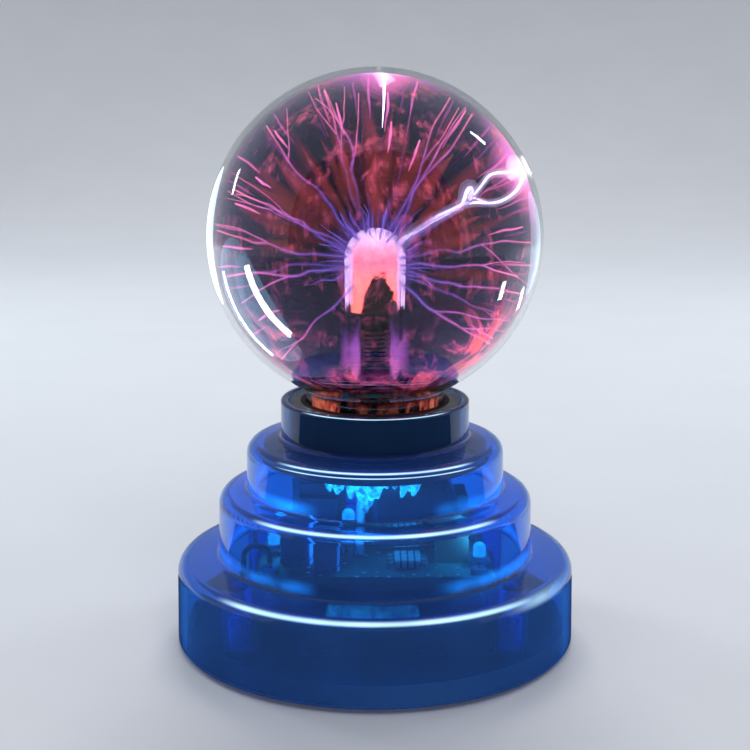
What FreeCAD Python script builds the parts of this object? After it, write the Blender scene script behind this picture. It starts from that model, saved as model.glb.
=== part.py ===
"""A battery-powered plasma ball: a gas-filled glass globe on a stepped, clear blue base.

Millimetres, +Z up, origin at the centre of the base on the surface it stands on. The front is -Y.
A closed glass bulb with a short neck stands in a black cup in the throat of the base. A thin domed
tube of glass rises from the neck to the middle of the bulb and holds the electrode. The base holds
the high-voltage board, four AAA cells behind a hinged door, a three-way slide switch and a microphone.
"""
import FreeCAD, Part  # noqa: E401

import math
import os

from FreeCAD import Vector

X_AXIS, Y_AXIS, Z_AXIS = Vector(1, 0, 0), Vector(0, 1, 0), Vector(0, 0, 1)
ORIGIN = Vector(0, 0, 0)

# --- Glass globe -------------------------------------------------------------------------------
globe_diameter = 80.0
globe_wall = 1.2
neck_diameter = 33.6
neck_visible = 2.7  # bare glass neck between the throat's rim and the bulb
neck_blend = 2.5  # fillet where the neck runs into the bulb

# --- Stepped base shell ------------------------------------------------------------------------
shell_wall = 2.0
shell_lift = 1.6  # the shell's edge above the table, which is how far the feet stand out
lower_tier_top = 21.5
middle_tier_top = 38.0
upper_tier_top = 50.5
throat_rim = 61.0
lower_step = 10.4  # from the middle tier's edge out to the lower tier's
upper_step = 8.4  # from the throat out to the upper tier's edge
tier_slope = 1.0  # each step's top rises this much from its edge to the next wall
tier_edge_fillet = 3.0
tier_root_fillet = 1.0
side_draft = math.tan(math.radians(1.0))

# --- Electrode inside the globe ----------------------------------------------------------------
tube_diameter = 13.7
tube_wall = 0.9
tube_above_centre = 2.0  # the dome's top above the globe's centre
flare_blend = 4.0
lining_length = 18.6
lining_wall = 2.0
lining_gap = 0.1  # between the tube and the wad in it
stem_clearance = 0.35  # between the wad and the shoulder in it
stem_shoulder_length = 7.7
tip_radius = 1.95
tip_length = 4.9
spring_wire = 0.6
spring_pitch = 1.05
spring_turns = 8.0
sleeve_step = 1.0  # the sleeve is this much slimmer than its shoulder

# --- Cup that holds the neck -------------------------------------------------------------------
cup_wall = 2.5
cup_floor_thickness = 1.7
cup_floor_hole = 13.0
cup_flange_width = 4.0  # beyond the throat's outside
cup_flange_thickness = 1.8
cup_rim_below_throat = 0.5
cup_screw_inset = 2.8  # from the flange's edge to the middle of a screw
cup_screw_angles = (90.0, 210.0, 330.0)
cup_boss_radius = 2.4
gasket_thickness = 1.4
gasket_height = 4.0

# --- Bottom cover, feet and case screws --------------------------------------------------------
cover_thickness = 2.0
cover_upstand = 5.0
cover_upstand_wall = 1.6
foot_radius = 4.0
foot_recess = 0.9
foot_inset = 6.3  # from the cover's edge to the middle of a foot
foot_angles = (0.0, 90.0, 180.0, 270.0)
boss_radius = 3.2
boss_inset = 6.2  # from the cover's edge to the middle of a case screw
case_screw_angles = (38.0, 142.0, 218.0, 322.0)
well_radius = 5.0
well_depth = 3.2
well_floor = 1.8

# --- Batteries and their bay -------------------------------------------------------------------
cell_diameter = 10.5
cell_length = 44.5
cell_nub_length = 1.2
cell_nub_radius = 1.9
cell_gap = 0.4  # between neighbouring cells
cell_count = 4
cell_clearance = 0.5  # round the row of cells
bay_wall = 1.6
plate_thickness = 0.4
cell_spring_length = 4.7
cell_spring_wire = 0.6
cell_spring_turns = 4
rib_width = 1.0
rib_height = 2.0
solder_tab_width = 1.8
solder_tab_y = 12.8

# --- Battery door ------------------------------------------------------------------------------
door_thickness = 1.8
door_gap = 0.3
door_overlap = 1.2  # the door's edge beyond the inside of the bay
tab_width = 6.0
tab_thickness = 1.1
tab_reach = 2.1  # how far a tab hooks past the door's edge
tab_root = 1.5
tab_spacing = 26.0
finger_notch_radius = 7.0
finger_notch_depth = 3.4

# --- Circuit board -----------------------------------------------------------------------------
board_length = 55.976
board_width = 40.0
board_thickness = 1.6
board_post_height = 4.0
board_post_radius = 2.2
board_post_inset = 3.5
board_clearance = 2.0  # from the board's corners to the inside of the middle tier
coil_length = 21.0
coil_width = 17.0
coil_fillet = 6.5
core_wall = 3.0
core_width = 10.0
core_height = 14.0
transformer_x = 9.8
transformer_y = 6.0
lamp_radius = 1.5
lamp_rim_radius = 1.9
lamp_height = 5.3
sink_x = -14.5
sink_y = 12.5
glue_depth = 4.5
glue_clearance = 1.5

# --- Slide switch at the back ------------------------------------------------------------------
switch_height = 11.0  # the knob's middle above the table
switch_step = 2.0  # travel from one position to the next, of three
knob_width = 4.0
knob_height = 3.0
knob_stand_out = 1.8
slot_clearance = 0.4
switch_body_length = 13.5
switch_body_height = 6.0
switch_body_depth = 4.6
switch_plate = 0.6
switch_screw_spacing = 18.0

# --- Microphone at the back --------------------------------------------------------------------
mic_angle = 62.0  # from +X, about Z
mic_height = 12.6
mic_radius = 3.0
mic_depth = 3.4
mic_sleeve_wall = 0.9
mic_hole_radius = 1.25

# --- Fits, fasteners and wire ------------------------------------------------------------------
seat_gap = 0.3  # between pieces that stand next to each other
shaft_gap = 0.05  # around screws and other round fits
screw_radius = 1.3
screw_head_radius = 2.6
screw_head_height = 1.8
small_screw_radius = 0.95
small_head_radius = 1.9
small_head_height = 1.3
wire_radius = 0.6
wire_stand_off = 8.0  # how far outside the bay a wire starts to rise
wire_crest = 0.6  # how far outside the bay it is at its full height
hv_lead_radius = 1.1

# --- Worked out from the sizes above -----------------------------------------------------------
globe_radius = globe_diameter / 2
neck_radius = neck_diameter / 2
globe_centre = throat_rim + neck_visible + math.sqrt(globe_radius**2 - neck_radius**2)
ceiling = upper_tier_top - shell_wall  # underside of the top step at its edge

cup_bore = neck_radius + gasket_thickness
cup_radius = cup_bore + cup_wall
throat_bore = cup_radius + seat_gap
throat_radius = throat_bore + shell_wall
throat_root = upper_tier_top + tier_slope  # where the throat rises from the top step
upper_tier_radius = throat_radius + upper_step
board_reach = math.hypot(board_length / 2, board_width / 2)
middle_tier_radius = board_reach + board_clearance + shell_wall
lower_tier_radius = middle_tier_radius + lower_step

cup_flange_radius = throat_radius + cup_flange_width
cup_screw_circle = cup_flange_radius - cup_screw_inset
cup_rim = throat_rim - cup_rim_below_throat
cup_bottom = ceiling - seat_gap - cup_flange_thickness
cup_floor = ceiling - seat_gap + cup_floor_thickness / 2
neck_bottom = cup_floor

tube_radius = tube_diameter / 2
tube_bore = tube_radius - tube_wall
lining_radius = tube_bore - lining_gap
stem_radius = lining_radius - lining_wall - stem_clearance
sleeve_radius = stem_radius - sleeve_step
dome_centre = globe_centre + tube_above_centre - tube_radius
lining_bottom = globe_centre + tube_above_centre - tube_wall - lining_length
tip_top = lining_bottom + lining_length - 10.5
shoulder_top = tip_top - tip_length
shoulder_bottom = shoulder_top - stem_shoulder_length
spring_bottom = shoulder_bottom - spring_pitch * spring_turns - spring_wire
glue_bottom = cup_floor - cup_floor_thickness - glue_depth

shell_foot_radius = lower_tier_radius + (lower_tier_top - shell_lift) * side_draft
cover_radius = shell_foot_radius - shell_wall - seat_gap
cover_top = shell_lift + cover_thickness
door_top = shell_lift + door_thickness
boss_circle = cover_radius - boss_inset
foot_circle = cover_radius - foot_inset
well_top = shell_lift + well_depth + well_floor

cell_pitch = cell_diameter + cell_gap
bay_length = cell_length + cell_spring_length + 2 * plate_thickness
bay_width = cell_count * cell_pitch + cell_clearance
bay_side = bay_width / 2 + bay_wall
cell_axis_z = door_top + cell_clearance + cell_diameter / 2
bay_ceiling = cell_axis_z + cell_diameter / 2 + cell_clearance
bay_top = bay_ceiling + bay_wall
door_length = bay_length + 2 * door_overlap - 2 * door_gap
door_width = bay_width + 2 * door_overlap - 2 * door_gap
hinge_y = -door_width / 2
hinge_z = shell_lift

board_bottom = bay_top + board_post_height
board_top = board_bottom + board_thickness
post_x = board_length / 2 - board_post_inset
post_y = board_width / 2 - board_post_inset
coil_top = glue_bottom - glue_clearance
coil_bottom = board_top + core_wall

back_wall = math.sqrt((shell_foot_radius - shell_wall) ** 2 - (switch_screw_spacing / 2) ** 2)
switch_face = back_wall - 1.6  # the switch's plate stands on bosses of this depth or more
slot_half_width = switch_step + knob_width / 2 + slot_clearance
slot_half_height = knob_height / 2 + slot_clearance
mic_face = shell_foot_radius - shell_wall - 1.2  # how far from the base's axis the microphone's front lies
mic_socket_radius = mic_radius + mic_sleeve_wall + 1.2


# --- Shape helpers -----------------------------------------------------------------------------
def cylinder(radius, low, high, x=0.0, y=0.0):
    """An upright cylinder from height low to height high."""
    return Part.makeCylinder(radius, high - low, Vector(x, y, low))


def ring(outer, inner, low, high, x=0.0, y=0.0):
    """An upright tube from height low to height high."""
    return cylinder(outer, low, high, x, y).cut(cylinder(inner, low - 1, high + 1, x, y))


def block(x_low, x_high, y_low, y_high, z_low, z_high):
    """A box between two corners."""
    return Part.makeBox(x_high - x_low, y_high - y_low, z_high - z_low, Vector(x_low, y_low, z_low))


def polar(radius, angle):
    """The x and y of a point at a radius and an angle in degrees from +X."""
    return radius * math.cos(math.radians(angle)), radius * math.sin(math.radians(angle))


def rounded_edges(corners, closed):
    """Lines through the corners, each a (point, fillet radius), with tangent arcs at the fillets."""
    count = len(corners)
    starts, ends, arcs = [], [], []
    for i, (point, radius) in enumerate(corners):
        at_end = not closed and i in (0, count - 1)
        if radius <= 0 or at_end:
            starts.append(point)
            ends.append(point)
            arcs.append(None)
            continue
        back = (corners[i - 1][0] - point).normalize()
        ahead = (corners[(i + 1) % count][0] - point).normalize()
        half = back.getAngle(ahead) / 2
        setback = radius / math.tan(half)
        centre = point + (back + ahead).normalize() * (radius / math.sin(half))
        first, last = point + back * setback, point + ahead * setback
        middle = centre + (point - centre).normalize() * radius
        starts.append(first)
        ends.append(last)
        arcs.append(Part.Arc(first, middle, last).toShape())
    edges = []
    for i in range(count):
        if arcs[i] is not None:
            edges.append(arcs[i])
        following = (i + 1) % count
        if following == 0 and not closed:
            break
        if ends[i].distanceToPoint(starts[following]) > 1e-6:
            edges.append(Part.LineSegment(ends[i], starts[following]).toShape())
    return edges


def turned(profile):
    """A solid of revolution about Z, from corners given as (radius, height, fillet)."""
    corners = [(Vector(radius, 0, height), fillet) for radius, height, fillet in profile]
    face = Part.Face(Part.Wire(rounded_edges(corners, closed=True)))
    return face.revolve(ORIGIN, Z_AXIS, 360)


def wire_along(points, radius):
    """A round wire whose route is straight runs joined by the largest tangent arcs that fit."""
    corners = [(Vector(*points[0]), 0)]
    for i in range(1, len(points) - 1):
        back, here, ahead = (Vector(*points[j]) for j in (i - 1, i, i + 1))
        turn = (here - back).getAngle(ahead - here)
        shorter = min(here.distanceToPoint(back), here.distanceToPoint(ahead))
        corners.append((here, 0.45 * shorter / math.tan(turn / 2)))
    corners.append((Vector(*points[-1]), 0))
    route = Part.Wire(rounded_edges(corners, closed=False))
    heading = corners[1][0] - corners[0][0]
    section = Part.Wire(Part.makeCircle(radius, corners[0][0], heading))
    tube = route.makePipeShell([section], True, False)
    whole = math.pi * radius**2 * route.Length
    bends = ", ".join(f"{bend:.1f}" for _, bend in corners[1:-1])
    print(f"wire of {route.Length:.1f} mm, bends {bends} mm, volume share {tube.Volume / whole:.4f}")
    return tube


def coil_spring(wire_diameter, pitch, turns, radius, end_radius, base):
    """A spring wound up round Z from the height base, as a chain of quarter-turn arcs."""
    height = pitch * turns

    def at(share):
        angle = 2 * math.pi * turns * share
        reach = radius + (end_radius - radius) * share
        return Vector(reach * math.cos(angle), reach * math.sin(angle), base + height * share)

    count = round(4 * turns)
    arcs = [Part.Arc(at(i / count), at((i + 0.5) / count), at((i + 1) / count)).toShape() for i in range(count)]
    heading = arcs[0].tangentAt(arcs[0].FirstParameter)
    section = Part.Wire(Part.makeCircle(wire_diameter / 2, at(0), heading))
    return Part.Wire(arcs).makePipeShell([section], True, True)


def turned_to(shape, angle):
    """The shape turned about Z by an angle in degrees."""
    copy = shape.copy()
    copy.rotate(ORIGIN, Z_AXIS, angle)
    return copy


def corners(x, y):
    """The four corners of a rectangle round the axis."""
    return [(side_x * x, side_y * y) for side_x in (-1, 1) for side_y in (-1, 1)]


def copies(shape, spots):
    """Copies of a shape as one node, moved to each (x, y, z)."""
    placed = []
    for spot in spots:
        copy = shape.copy()
        copy.translate(Vector(*spot))
        placed.append(copy)
    return Part.makeCompound(placed)


def joined(shapes):
    """One solid out of shapes that touch or overlap."""
    return shapes[0].fuse(list(shapes[1:])).removeSplitter()


# --- Glass globe and electrode -----------------------------------------------------------------
def bulb_outline(radius, neck, low, blend):
    """Edges from the foot of the neck, up round the bulb, to its top on the axis."""
    centre = Vector(0, 0, globe_centre)
    fillet_drop = math.sqrt((radius + blend) ** 2 - (neck + blend) ** 2)
    fillet_centre = Vector(neck + blend, 0, globe_centre - fillet_drop)
    neck_end = Vector(neck, 0, fillet_centre.z)
    bulb_start = centre + (fillet_centre - centre).normalize() * radius
    towards = (neck_end - fillet_centre).normalize() + (bulb_start - fillet_centre).normalize()
    fillet_middle = fillet_centre + towards.normalize() * blend
    top = Vector(0, 0, globe_centre + radius)
    return [
        Part.LineSegment(Vector(neck, 0, low), neck_end).toShape(),
        Part.Arc(neck_end, fillet_middle, bulb_start).toShape(),
        Part.Arc(bulb_start, centre + Vector(radius, 0, 0), top).toShape(),
    ]


def glass_globe():
    """The blown bulb with its neck, whose open foot the electrode tube closes."""
    outside = bulb_outline(globe_radius, neck_radius, neck_bottom, neck_blend)
    inside_blend = neck_blend + globe_wall
    inside = bulb_outline(globe_radius - globe_wall, neck_radius - globe_wall, neck_bottom, inside_blend)
    foot = Part.LineSegment(inside[0].Vertexes[0].Point, outside[0].Vertexes[0].Point).toShape()
    crown = Part.LineSegment(outside[-1].Vertexes[-1].Point, inside[-1].Vertexes[-1].Point).toShape()
    edges = Part.__sortEdges__([*outside, crown, *inside, foot])
    return Part.Face(Part.Wire(edges)).revolve(ORIGIN, Z_AXIS, 360)


def electrode_tube():
    """The thin glass tube with a domed top. Its flared foot closes the neck."""
    flare_radius = neck_radius - globe_wall
    flare_top = neck_bottom + globe_wall
    wall = turned([
        (tube_bore, neck_bottom, flare_blend - tube_wall),
        (flare_radius, neck_bottom, 0),
        (flare_radius, flare_top, 0),
        (tube_radius, flare_top, flare_blend),
        (tube_radius, dome_centre, 0),
        (tube_bore, dome_centre, 0),
    ])
    shell = Part.makeSphere(tube_radius, Vector(0, 0, dome_centre), Z_AXIS, 0, 90, 360)
    hollow = Part.makeSphere(tube_bore, Vector(0, 0, dome_centre), Z_AXIS, 0, 90, 360)
    return joined([wall, shell.cut(hollow)])


def exhaust_tip():
    """The sealed stub where the bulb was pumped out and filled, under the flare."""
    stub_x, stub_radius, stub_length = 10.2, 1.5, 3.4
    stub = cylinder(stub_radius, neck_bottom - stub_length, neck_bottom, stub_x)
    nose = Part.makeSphere(stub_radius, Vector(stub_x, 0, neck_bottom - stub_length))
    return joined([stub, nose])


def electrode_lining():
    """The conductive wad that lines the dome: a cap, open below, round the contact tip."""
    inner = lining_radius - lining_wall
    cap = joined([
        cylinder(lining_radius, lining_bottom, dome_centre),
        Part.makeSphere(lining_radius, Vector(0, 0, dome_centre), Z_AXIS, 0, 90, 360),
    ])
    return cap.cut(cylinder(inner, lining_bottom - 1, tip_top))


def lead_sleeve():
    """The insulating sleeve of the high-voltage lead, with the shoulder that the spring lifts."""
    shaft = cylinder(sleeve_radius, neck_bottom, shoulder_bottom)
    shoulder = cylinder(stem_radius, shoulder_bottom, shoulder_top)
    return joined([shaft, shoulder])


def stem_plug():
    """The bush that fills the foot of the tube and carries the spring."""
    column = ring(stem_radius, sleeve_radius + shaft_gap, neck_bottom + 3, spring_bottom)
    foot = ring(lining_radius, sleeve_radius + shaft_gap, neck_bottom + 4, neck_bottom + 9)
    return joined([column, foot])


def contact_spring():
    """The spring that pushes the sleeve and its contact tip up into the lining."""
    mean_radius = stem_radius + spring_wire / 4
    base = spring_bottom + spring_wire / 2
    return coil_spring(spring_wire, spring_pitch, spring_turns, mean_radius, mean_radius, base)


# --- Cup, gasket and glue ----------------------------------------------------------------------
def globe_cup():
    """The black cup in the throat. Its flange is screwed up under the top step."""
    wall = ring(cup_radius, cup_bore, cup_bottom, cup_rim)
    floor = ring(cup_radius, cup_floor_hole, cup_floor - cup_floor_thickness, cup_floor)
    flange = ring(cup_flange_radius, cup_bore, cup_bottom, cup_bottom + cup_flange_thickness)
    cup = joined([wall, floor, flange])
    for angle in cup_screw_angles:
        x, y = polar(cup_screw_circle, angle)
        cup = cup.cut(cylinder(small_screw_radius + 0.2, cup_bottom - 1, cup_bottom + 3, x, y))
    return cup


def neck_gasket():
    """The soft ring that centres the glass neck in the mouth of the cup."""
    return turned([
        (neck_radius, cup_rim - gasket_height, 0),
        (cup_bore, cup_rim - gasket_height, 0),
        (cup_bore, cup_rim + 0.2, 0.3),
        (neck_radius, cup_rim + 0.2, 0.3),
    ])


def neck_glue():
    """The set lump of hot glue that holds the glass in the cup, round the lead and the stub."""
    floor_under = cup_floor - cup_floor_thickness
    hole = sleeve_radius + 0.5
    lump = turned([
        (hole, neck_bottom, 0),
        (cup_floor_hole, neck_bottom, 0),
        (cup_floor_hole, floor_under, 0),
        (cup_floor_hole + 2, floor_under, 0),
        (cup_floor_hole - 1, floor_under - 2.6, 2.0),
        (hole + 2.5, glue_bottom, 2.0),
        (hole, glue_bottom, 0),
    ])
    return lump.cut(exhaust_tip())


# --- Shell -------------------------------------------------------------------------------------
def shell_profile(inset):
    """The stepped outline from the foot to the throat, moved inwards by inset."""
    edge = max(tier_edge_fillet - inset, 0.5)
    root = tier_root_fillet + inset
    foot_radius = shell_foot_radius - inset
    middle_root = middle_tier_radius + (middle_tier_top - lower_tier_top) * side_draft - inset
    upper_root = upper_tier_radius + (upper_tier_top - middle_tier_top) * side_draft - inset
    return [
        (foot_radius, shell_lift, 0.4 if inset == 0 else 0),
        (lower_tier_radius - inset, lower_tier_top - inset, edge),
        (middle_root, lower_tier_top + tier_slope - inset, root),
        (middle_tier_radius - inset, middle_tier_top - inset, edge),
        (upper_root, middle_tier_top + tier_slope - inset, root),
        (upper_tier_radius - inset, upper_tier_top - inset, edge),
    ]


def switch_spots():
    """The x of each of the switch's two screws."""
    return (-switch_screw_spacing / 2, switch_screw_spacing / 2)


def along_y(radius, length, x, y, z):
    """A cylinder that runs towards +Y from a point."""
    return Part.makeCylinder(radius, length, Vector(x, y, z), Y_AXIS)


def mic_cylinder(radius, y_from_face, length):
    """A cylinder on the microphone's axis, from a distance behind its front face, outwards."""
    start = Vector(mic_face - y_from_face, 0, mic_height)
    return turned_to(Part.makeCylinder(radius, length, start, X_AXIS), mic_angle)


def shell_additions():
    """The shell's bosses for the case, cup and switch screws, and the microphone's socket."""
    case_bosses = [
        cylinder(boss_radius, well_top, lower_tier_top - shell_wall / 2, *polar(boss_circle, angle))
        for angle in case_screw_angles
    ]
    flange_top = cup_bottom + cup_flange_thickness
    cup_bosses = [
        cylinder(cup_boss_radius, flange_top, throat_root - 0.6, *polar(cup_screw_circle, angle))
        for angle in cup_screw_angles
    ]
    depth = shell_foot_radius - switch_face - 1.6
    switch_bosses = [along_y(2.0, depth, x, switch_face, switch_height) for x in switch_spots()]
    socket = mic_cylinder(mic_socket_radius, mic_depth - 1.0, mic_depth + 1.0)
    return [*case_bosses, *cup_bosses, *switch_bosses, socket]


def shell_openings():
    """What is cut from the shell: its screw holes, the switch's slot and the microphone's hole."""
    case_holes = [
        cylinder(screw_radius + shaft_gap, well_top - 1, well_top + 8, *polar(boss_circle, angle))
        for angle in case_screw_angles
    ]
    cup_holes = [
        cylinder(small_screw_radius + shaft_gap, cup_bottom, throat_root - 1.0, *polar(cup_screw_circle, angle))
        for angle in cup_screw_angles
    ]
    switch_holes = [
        along_y(small_screw_radius + shaft_gap, 3.6, x, switch_face - 1, switch_height) for x in switch_spots()
    ]
    slot = block(-slot_half_width, slot_half_width, switch_face - 0.1, shell_foot_radius + 1,
                 switch_height - slot_half_height, switch_height + slot_half_height)
    mic_seat = mic_cylinder(mic_radius + mic_sleeve_wall, mic_depth + 1.0, mic_depth + 1.7)
    mic_hole = mic_cylinder(mic_hole_radius, 1.0, 8.0)
    return [*case_holes, *cup_holes, *switch_holes, slot, mic_seat, mic_hole]


def upper_shell():
    """The clear blue shell: three steps and a throat, with the bosses that its neighbours screw to."""
    shell = turned([
        *shell_profile(0),
        (throat_radius, throat_root, tier_root_fillet),
        (throat_radius, throat_rim, 0.7),
        (throat_bore, throat_rim, 0.7),
        (throat_bore, throat_root - shell_wall, 0),
        *reversed(shell_profile(shell_wall)),
    ])
    body = outer_body()
    shell = joined([shell, *(addition.common(body) for addition in shell_additions())])
    for opening in shell_openings():
        shell = shell.cut(opening)
    return shell


def outer_body():
    """The base's outer form, filled in, which trims whatever is added inside the shell."""
    return turned([*shell_profile(0), (0, upper_tier_top, 0), (0, shell_lift, 0)])


# --- Bottom cover, feet and screws -------------------------------------------------------------
def cover_body():
    """The solid parts of the cover: plate, upstand, battery box, screw wells and board posts."""
    plate = cylinder(cover_radius, shell_lift, cover_top)
    upstand = ring(cover_radius, cover_radius - cover_upstand_wall, shell_lift, shell_lift + cover_upstand)
    box_x, box_y = bay_length / 2 + bay_wall, bay_side
    box = block(-box_x, box_x, -box_y, box_y, shell_lift, bay_top)
    well_spots = [polar(boss_circle, angle) for angle in case_screw_angles]
    wells = [cylinder(well_radius, shell_lift, well_top, x, y) for x, y in well_spots]
    posts = [cylinder(board_post_radius, bay_top, board_bottom, x, y) for x, y in corners(post_x, post_y)]
    return joined([plate, upstand, box, *wells, *posts])


def bay_room():
    """The battery box's inside and the door's opening below it, leaving the ribs between the cells."""
    half_length, half_width = bay_length / 2, bay_width / 2
    inside = block(-half_length, half_length, -half_width, half_width, cover_top, bay_ceiling)
    for i in range(1, cell_count):
        y = (i - cell_count / 2) * cell_pitch
        inside = inside.cut(block(1 - half_length, half_length - 1, y - rib_width / 2, y + rib_width / 2,
                                  bay_ceiling - rib_height, bay_ceiling))
    lip_x, lip_y = half_length + door_overlap, half_width + door_overlap
    return joined([inside, block(-lip_x, lip_x, -lip_y, lip_y, shell_lift - 1, cover_top)])


def tab_slots():
    """The slots in the box's front wall that the door's tabs hook into."""
    back, front = -bay_width / 2 + 0.1, -bay_width / 2 - bay_wall - 0.1
    half = tab_width / 2 + 0.4
    middles = (-tab_spacing / 2, tab_spacing / 2)
    return [block(x - half, x + half, front, back, cover_top, hinge_z + 4.6) for x in middles]


def finger_notch():
    """The shallow half-round notch behind the door's back edge."""
    edge = bay_width / 2 + door_overlap
    middle = edge + finger_notch_depth - finger_notch_radius
    disc = cylinder(finger_notch_radius, shell_lift - 0.01, shell_lift + 1.0, 0, middle)
    return disc.common(block(-20, 20, edge, edge + 2 * finger_notch_depth, 0, cover_top))


def end_tab_slot(side_y):
    """The slot in the box's roof that lets one end plate's solder tab through."""
    x = -bay_length / 2 + plate_thickness / 2
    y = side_y * solder_tab_y
    half = solder_tab_width / 2 + 0.2
    return block(x - 0.4, x + 0.4, y - half, y + half, bay_ceiling - 0.5, bay_top + 0.5)


def bottom_cover():
    """The round cover with its upstand, the screw wells, the battery bay and the board's posts."""
    cuts = [bay_room(), *tab_slots(), finger_notch(), end_tab_slot(-1), end_tab_slot(1)]
    for angle in case_screw_angles:
        x, y = polar(boss_circle, angle)
        cuts.append(cylinder(screw_head_radius + seat_gap, shell_lift - 1, shell_lift + well_depth, x, y))
        cuts.append(cylinder(screw_radius + 0.2, shell_lift, well_top + 1, x, y))
    for angle in foot_angles:
        cuts.append(cylinder(foot_radius, shell_lift - 1, shell_lift + foot_recess, *polar(foot_circle, angle)))
    for x, y in corners(post_x, post_y):
        cuts.append(cylinder(small_screw_radius + shaft_gap, bay_top + 0.6, board_bottom + 1, x, y))
    cover = cover_body()
    for piece in cuts:
        cover = cover.cut(piece)
    return cover


def rubber_feet():
    """Four round feet pressed into the cover."""
    pad = cylinder(foot_radius - shaft_gap, 0, shell_lift + foot_recess)
    pad = pad.makeFillet(0.5, [edge for edge in pad.Edges if edge.BoundBox.ZMax < 0.01])
    return copies(pad, [(*polar(foot_circle, angle), 0) for angle in foot_angles])


def pan_screw(radius, length, head_radius, head_height):
    """A pan-head screw with a cross recess, its head's seat at the origin and its shank along +Z."""
    head = Part.makeCylinder(head_radius, head_height, ORIGIN, Vector(0, 0, -1))
    crown = [edge for edge in head.Edges if edge.BoundBox.ZMax < -head_height / 2]
    head = head.makeFillet(head_height * 0.4, crown)
    shank = Part.makeCylinder(radius, length - radius)
    point = Part.makeCone(radius, radius * 0.35, radius, Vector(0, 0, length - radius))
    arm, half = head_radius * 0.62, head_radius * 0.12
    recess = -head_height * 0.45
    cross = joined([
        block(-arm, arm, -half, half, -head_height - 1, recess),
        block(-half, half, -arm, arm, -head_height - 1, recess),
    ])
    return joined([head, shank, point]).cut(cross)


def small_screw(length):
    """The smaller of the two screw sizes, used inside the base."""
    return pan_screw(small_screw_radius, length, small_head_radius, small_head_height)


def case_screws():
    """The four screws that hold the cover to the shell."""
    screw = pan_screw(screw_radius, well_floor + 7, screw_head_radius, screw_head_height)
    seat = shell_lift + well_depth
    return copies(screw, [(*polar(boss_circle, angle), seat) for angle in case_screw_angles])


def cup_screws():
    """The three screws that hold the cup under the top step."""
    screw = small_screw(cup_flange_thickness + 1.2)
    return copies(screw, [(*polar(cup_screw_circle, angle), cup_bottom) for angle in cup_screw_angles])


def board_screws():
    """The four screws that hold the board on its posts."""
    screw = small_screw(board_thickness + 3)
    screw.rotate(ORIGIN, X_AXIS, 180)
    return copies(screw, [(x, y, board_top) for x, y in corners(post_x, post_y)])


# --- Batteries, contacts and door --------------------------------------------------------------
def cell_y(index):
    """The y of a cell's axis. Cell 0 is nearest the front."""
    return (index - (cell_count - 1) / 2) * cell_pitch


def cell_direction(index):
    """1 where a cell's positive end faces +X, and -1 where it faces -X."""
    return 1 if index % 2 == 0 else -1


def battery_cell(index):
    """One AAA cell with its nub against the plate at its positive end."""
    can_length = cell_length - cell_nub_length
    can = Part.makeCylinder(cell_diameter / 2, can_length, ORIGIN, X_AXIS)
    can = can.makeFillet(0.5, [edge for edge in can.Edges if edge.BoundBox.XLength < 0.01])
    nub = Part.makeCylinder(cell_nub_radius, cell_nub_length, Vector(can_length, 0, 0), X_AXIS)
    cell = joined([can, nub])
    cell.translate(Vector(bay_length / 2 - plate_thickness - cell_length, 0, 0))
    if cell_direction(index) < 0:
        cell.rotate(ORIGIN, Z_AXIS, 180)
    cell.translate(Vector(0, cell_y(index), cell_axis_z))
    return cell


def battery_springs():
    """The four conical springs that press on the cells' flat ends."""
    pitch = (cell_spring_length - cell_spring_wire) / cell_spring_turns
    springs = []
    for index in range(cell_count):
        spring = coil_spring(cell_spring_wire, pitch, cell_spring_turns, 3.6, 2.0, cell_spring_wire / 2)
        spring.rotate(ORIGIN, Y_AXIS, 90)
        spring.translate(Vector(-bay_length / 2 + plate_thickness, 0, 0))
        if cell_direction(index) < 0:
            spring.rotate(ORIGIN, Z_AXIS, 180)
        spring.translate(Vector(0, cell_y(index), cell_axis_z))
        springs.append(spring)
    return Part.makeCompound(springs)


def contact_plate(side, first, last):
    """A plate on one end wall of the bay that spans the cells first to last."""
    half = 4.4
    x = side * (bay_length / 2 - plate_thickness / 2)
    return block(x - plate_thickness / 2, x + plate_thickness / 2, cell_y(first) - half, cell_y(last) + half,
                 cell_axis_z - half, cell_axis_z + half)


def link_plates():
    """The three plates that join each cell to the next."""
    return Part.makeCompound([contact_plate(1, 0, 1), contact_plate(1, 2, 3), contact_plate(-1, 1, 2)])


def end_plates():
    """The two plates at the ends of the row, each with a solder tab up through the roof."""
    plates = []
    for index in (0, cell_count - 1):
        x = -bay_length / 2 + plate_thickness / 2
        y = solder_tab_y * (1 if index else -1)
        tab = block(x - plate_thickness / 2, x + plate_thickness / 2, y - solder_tab_width / 2,
                    y + solder_tab_width / 2, cell_axis_z + 3, bay_top + 2.0)
        plates.append(joined([contact_plate(-1, index, index), tab]))
    return Part.makeCompound(plates)


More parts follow.
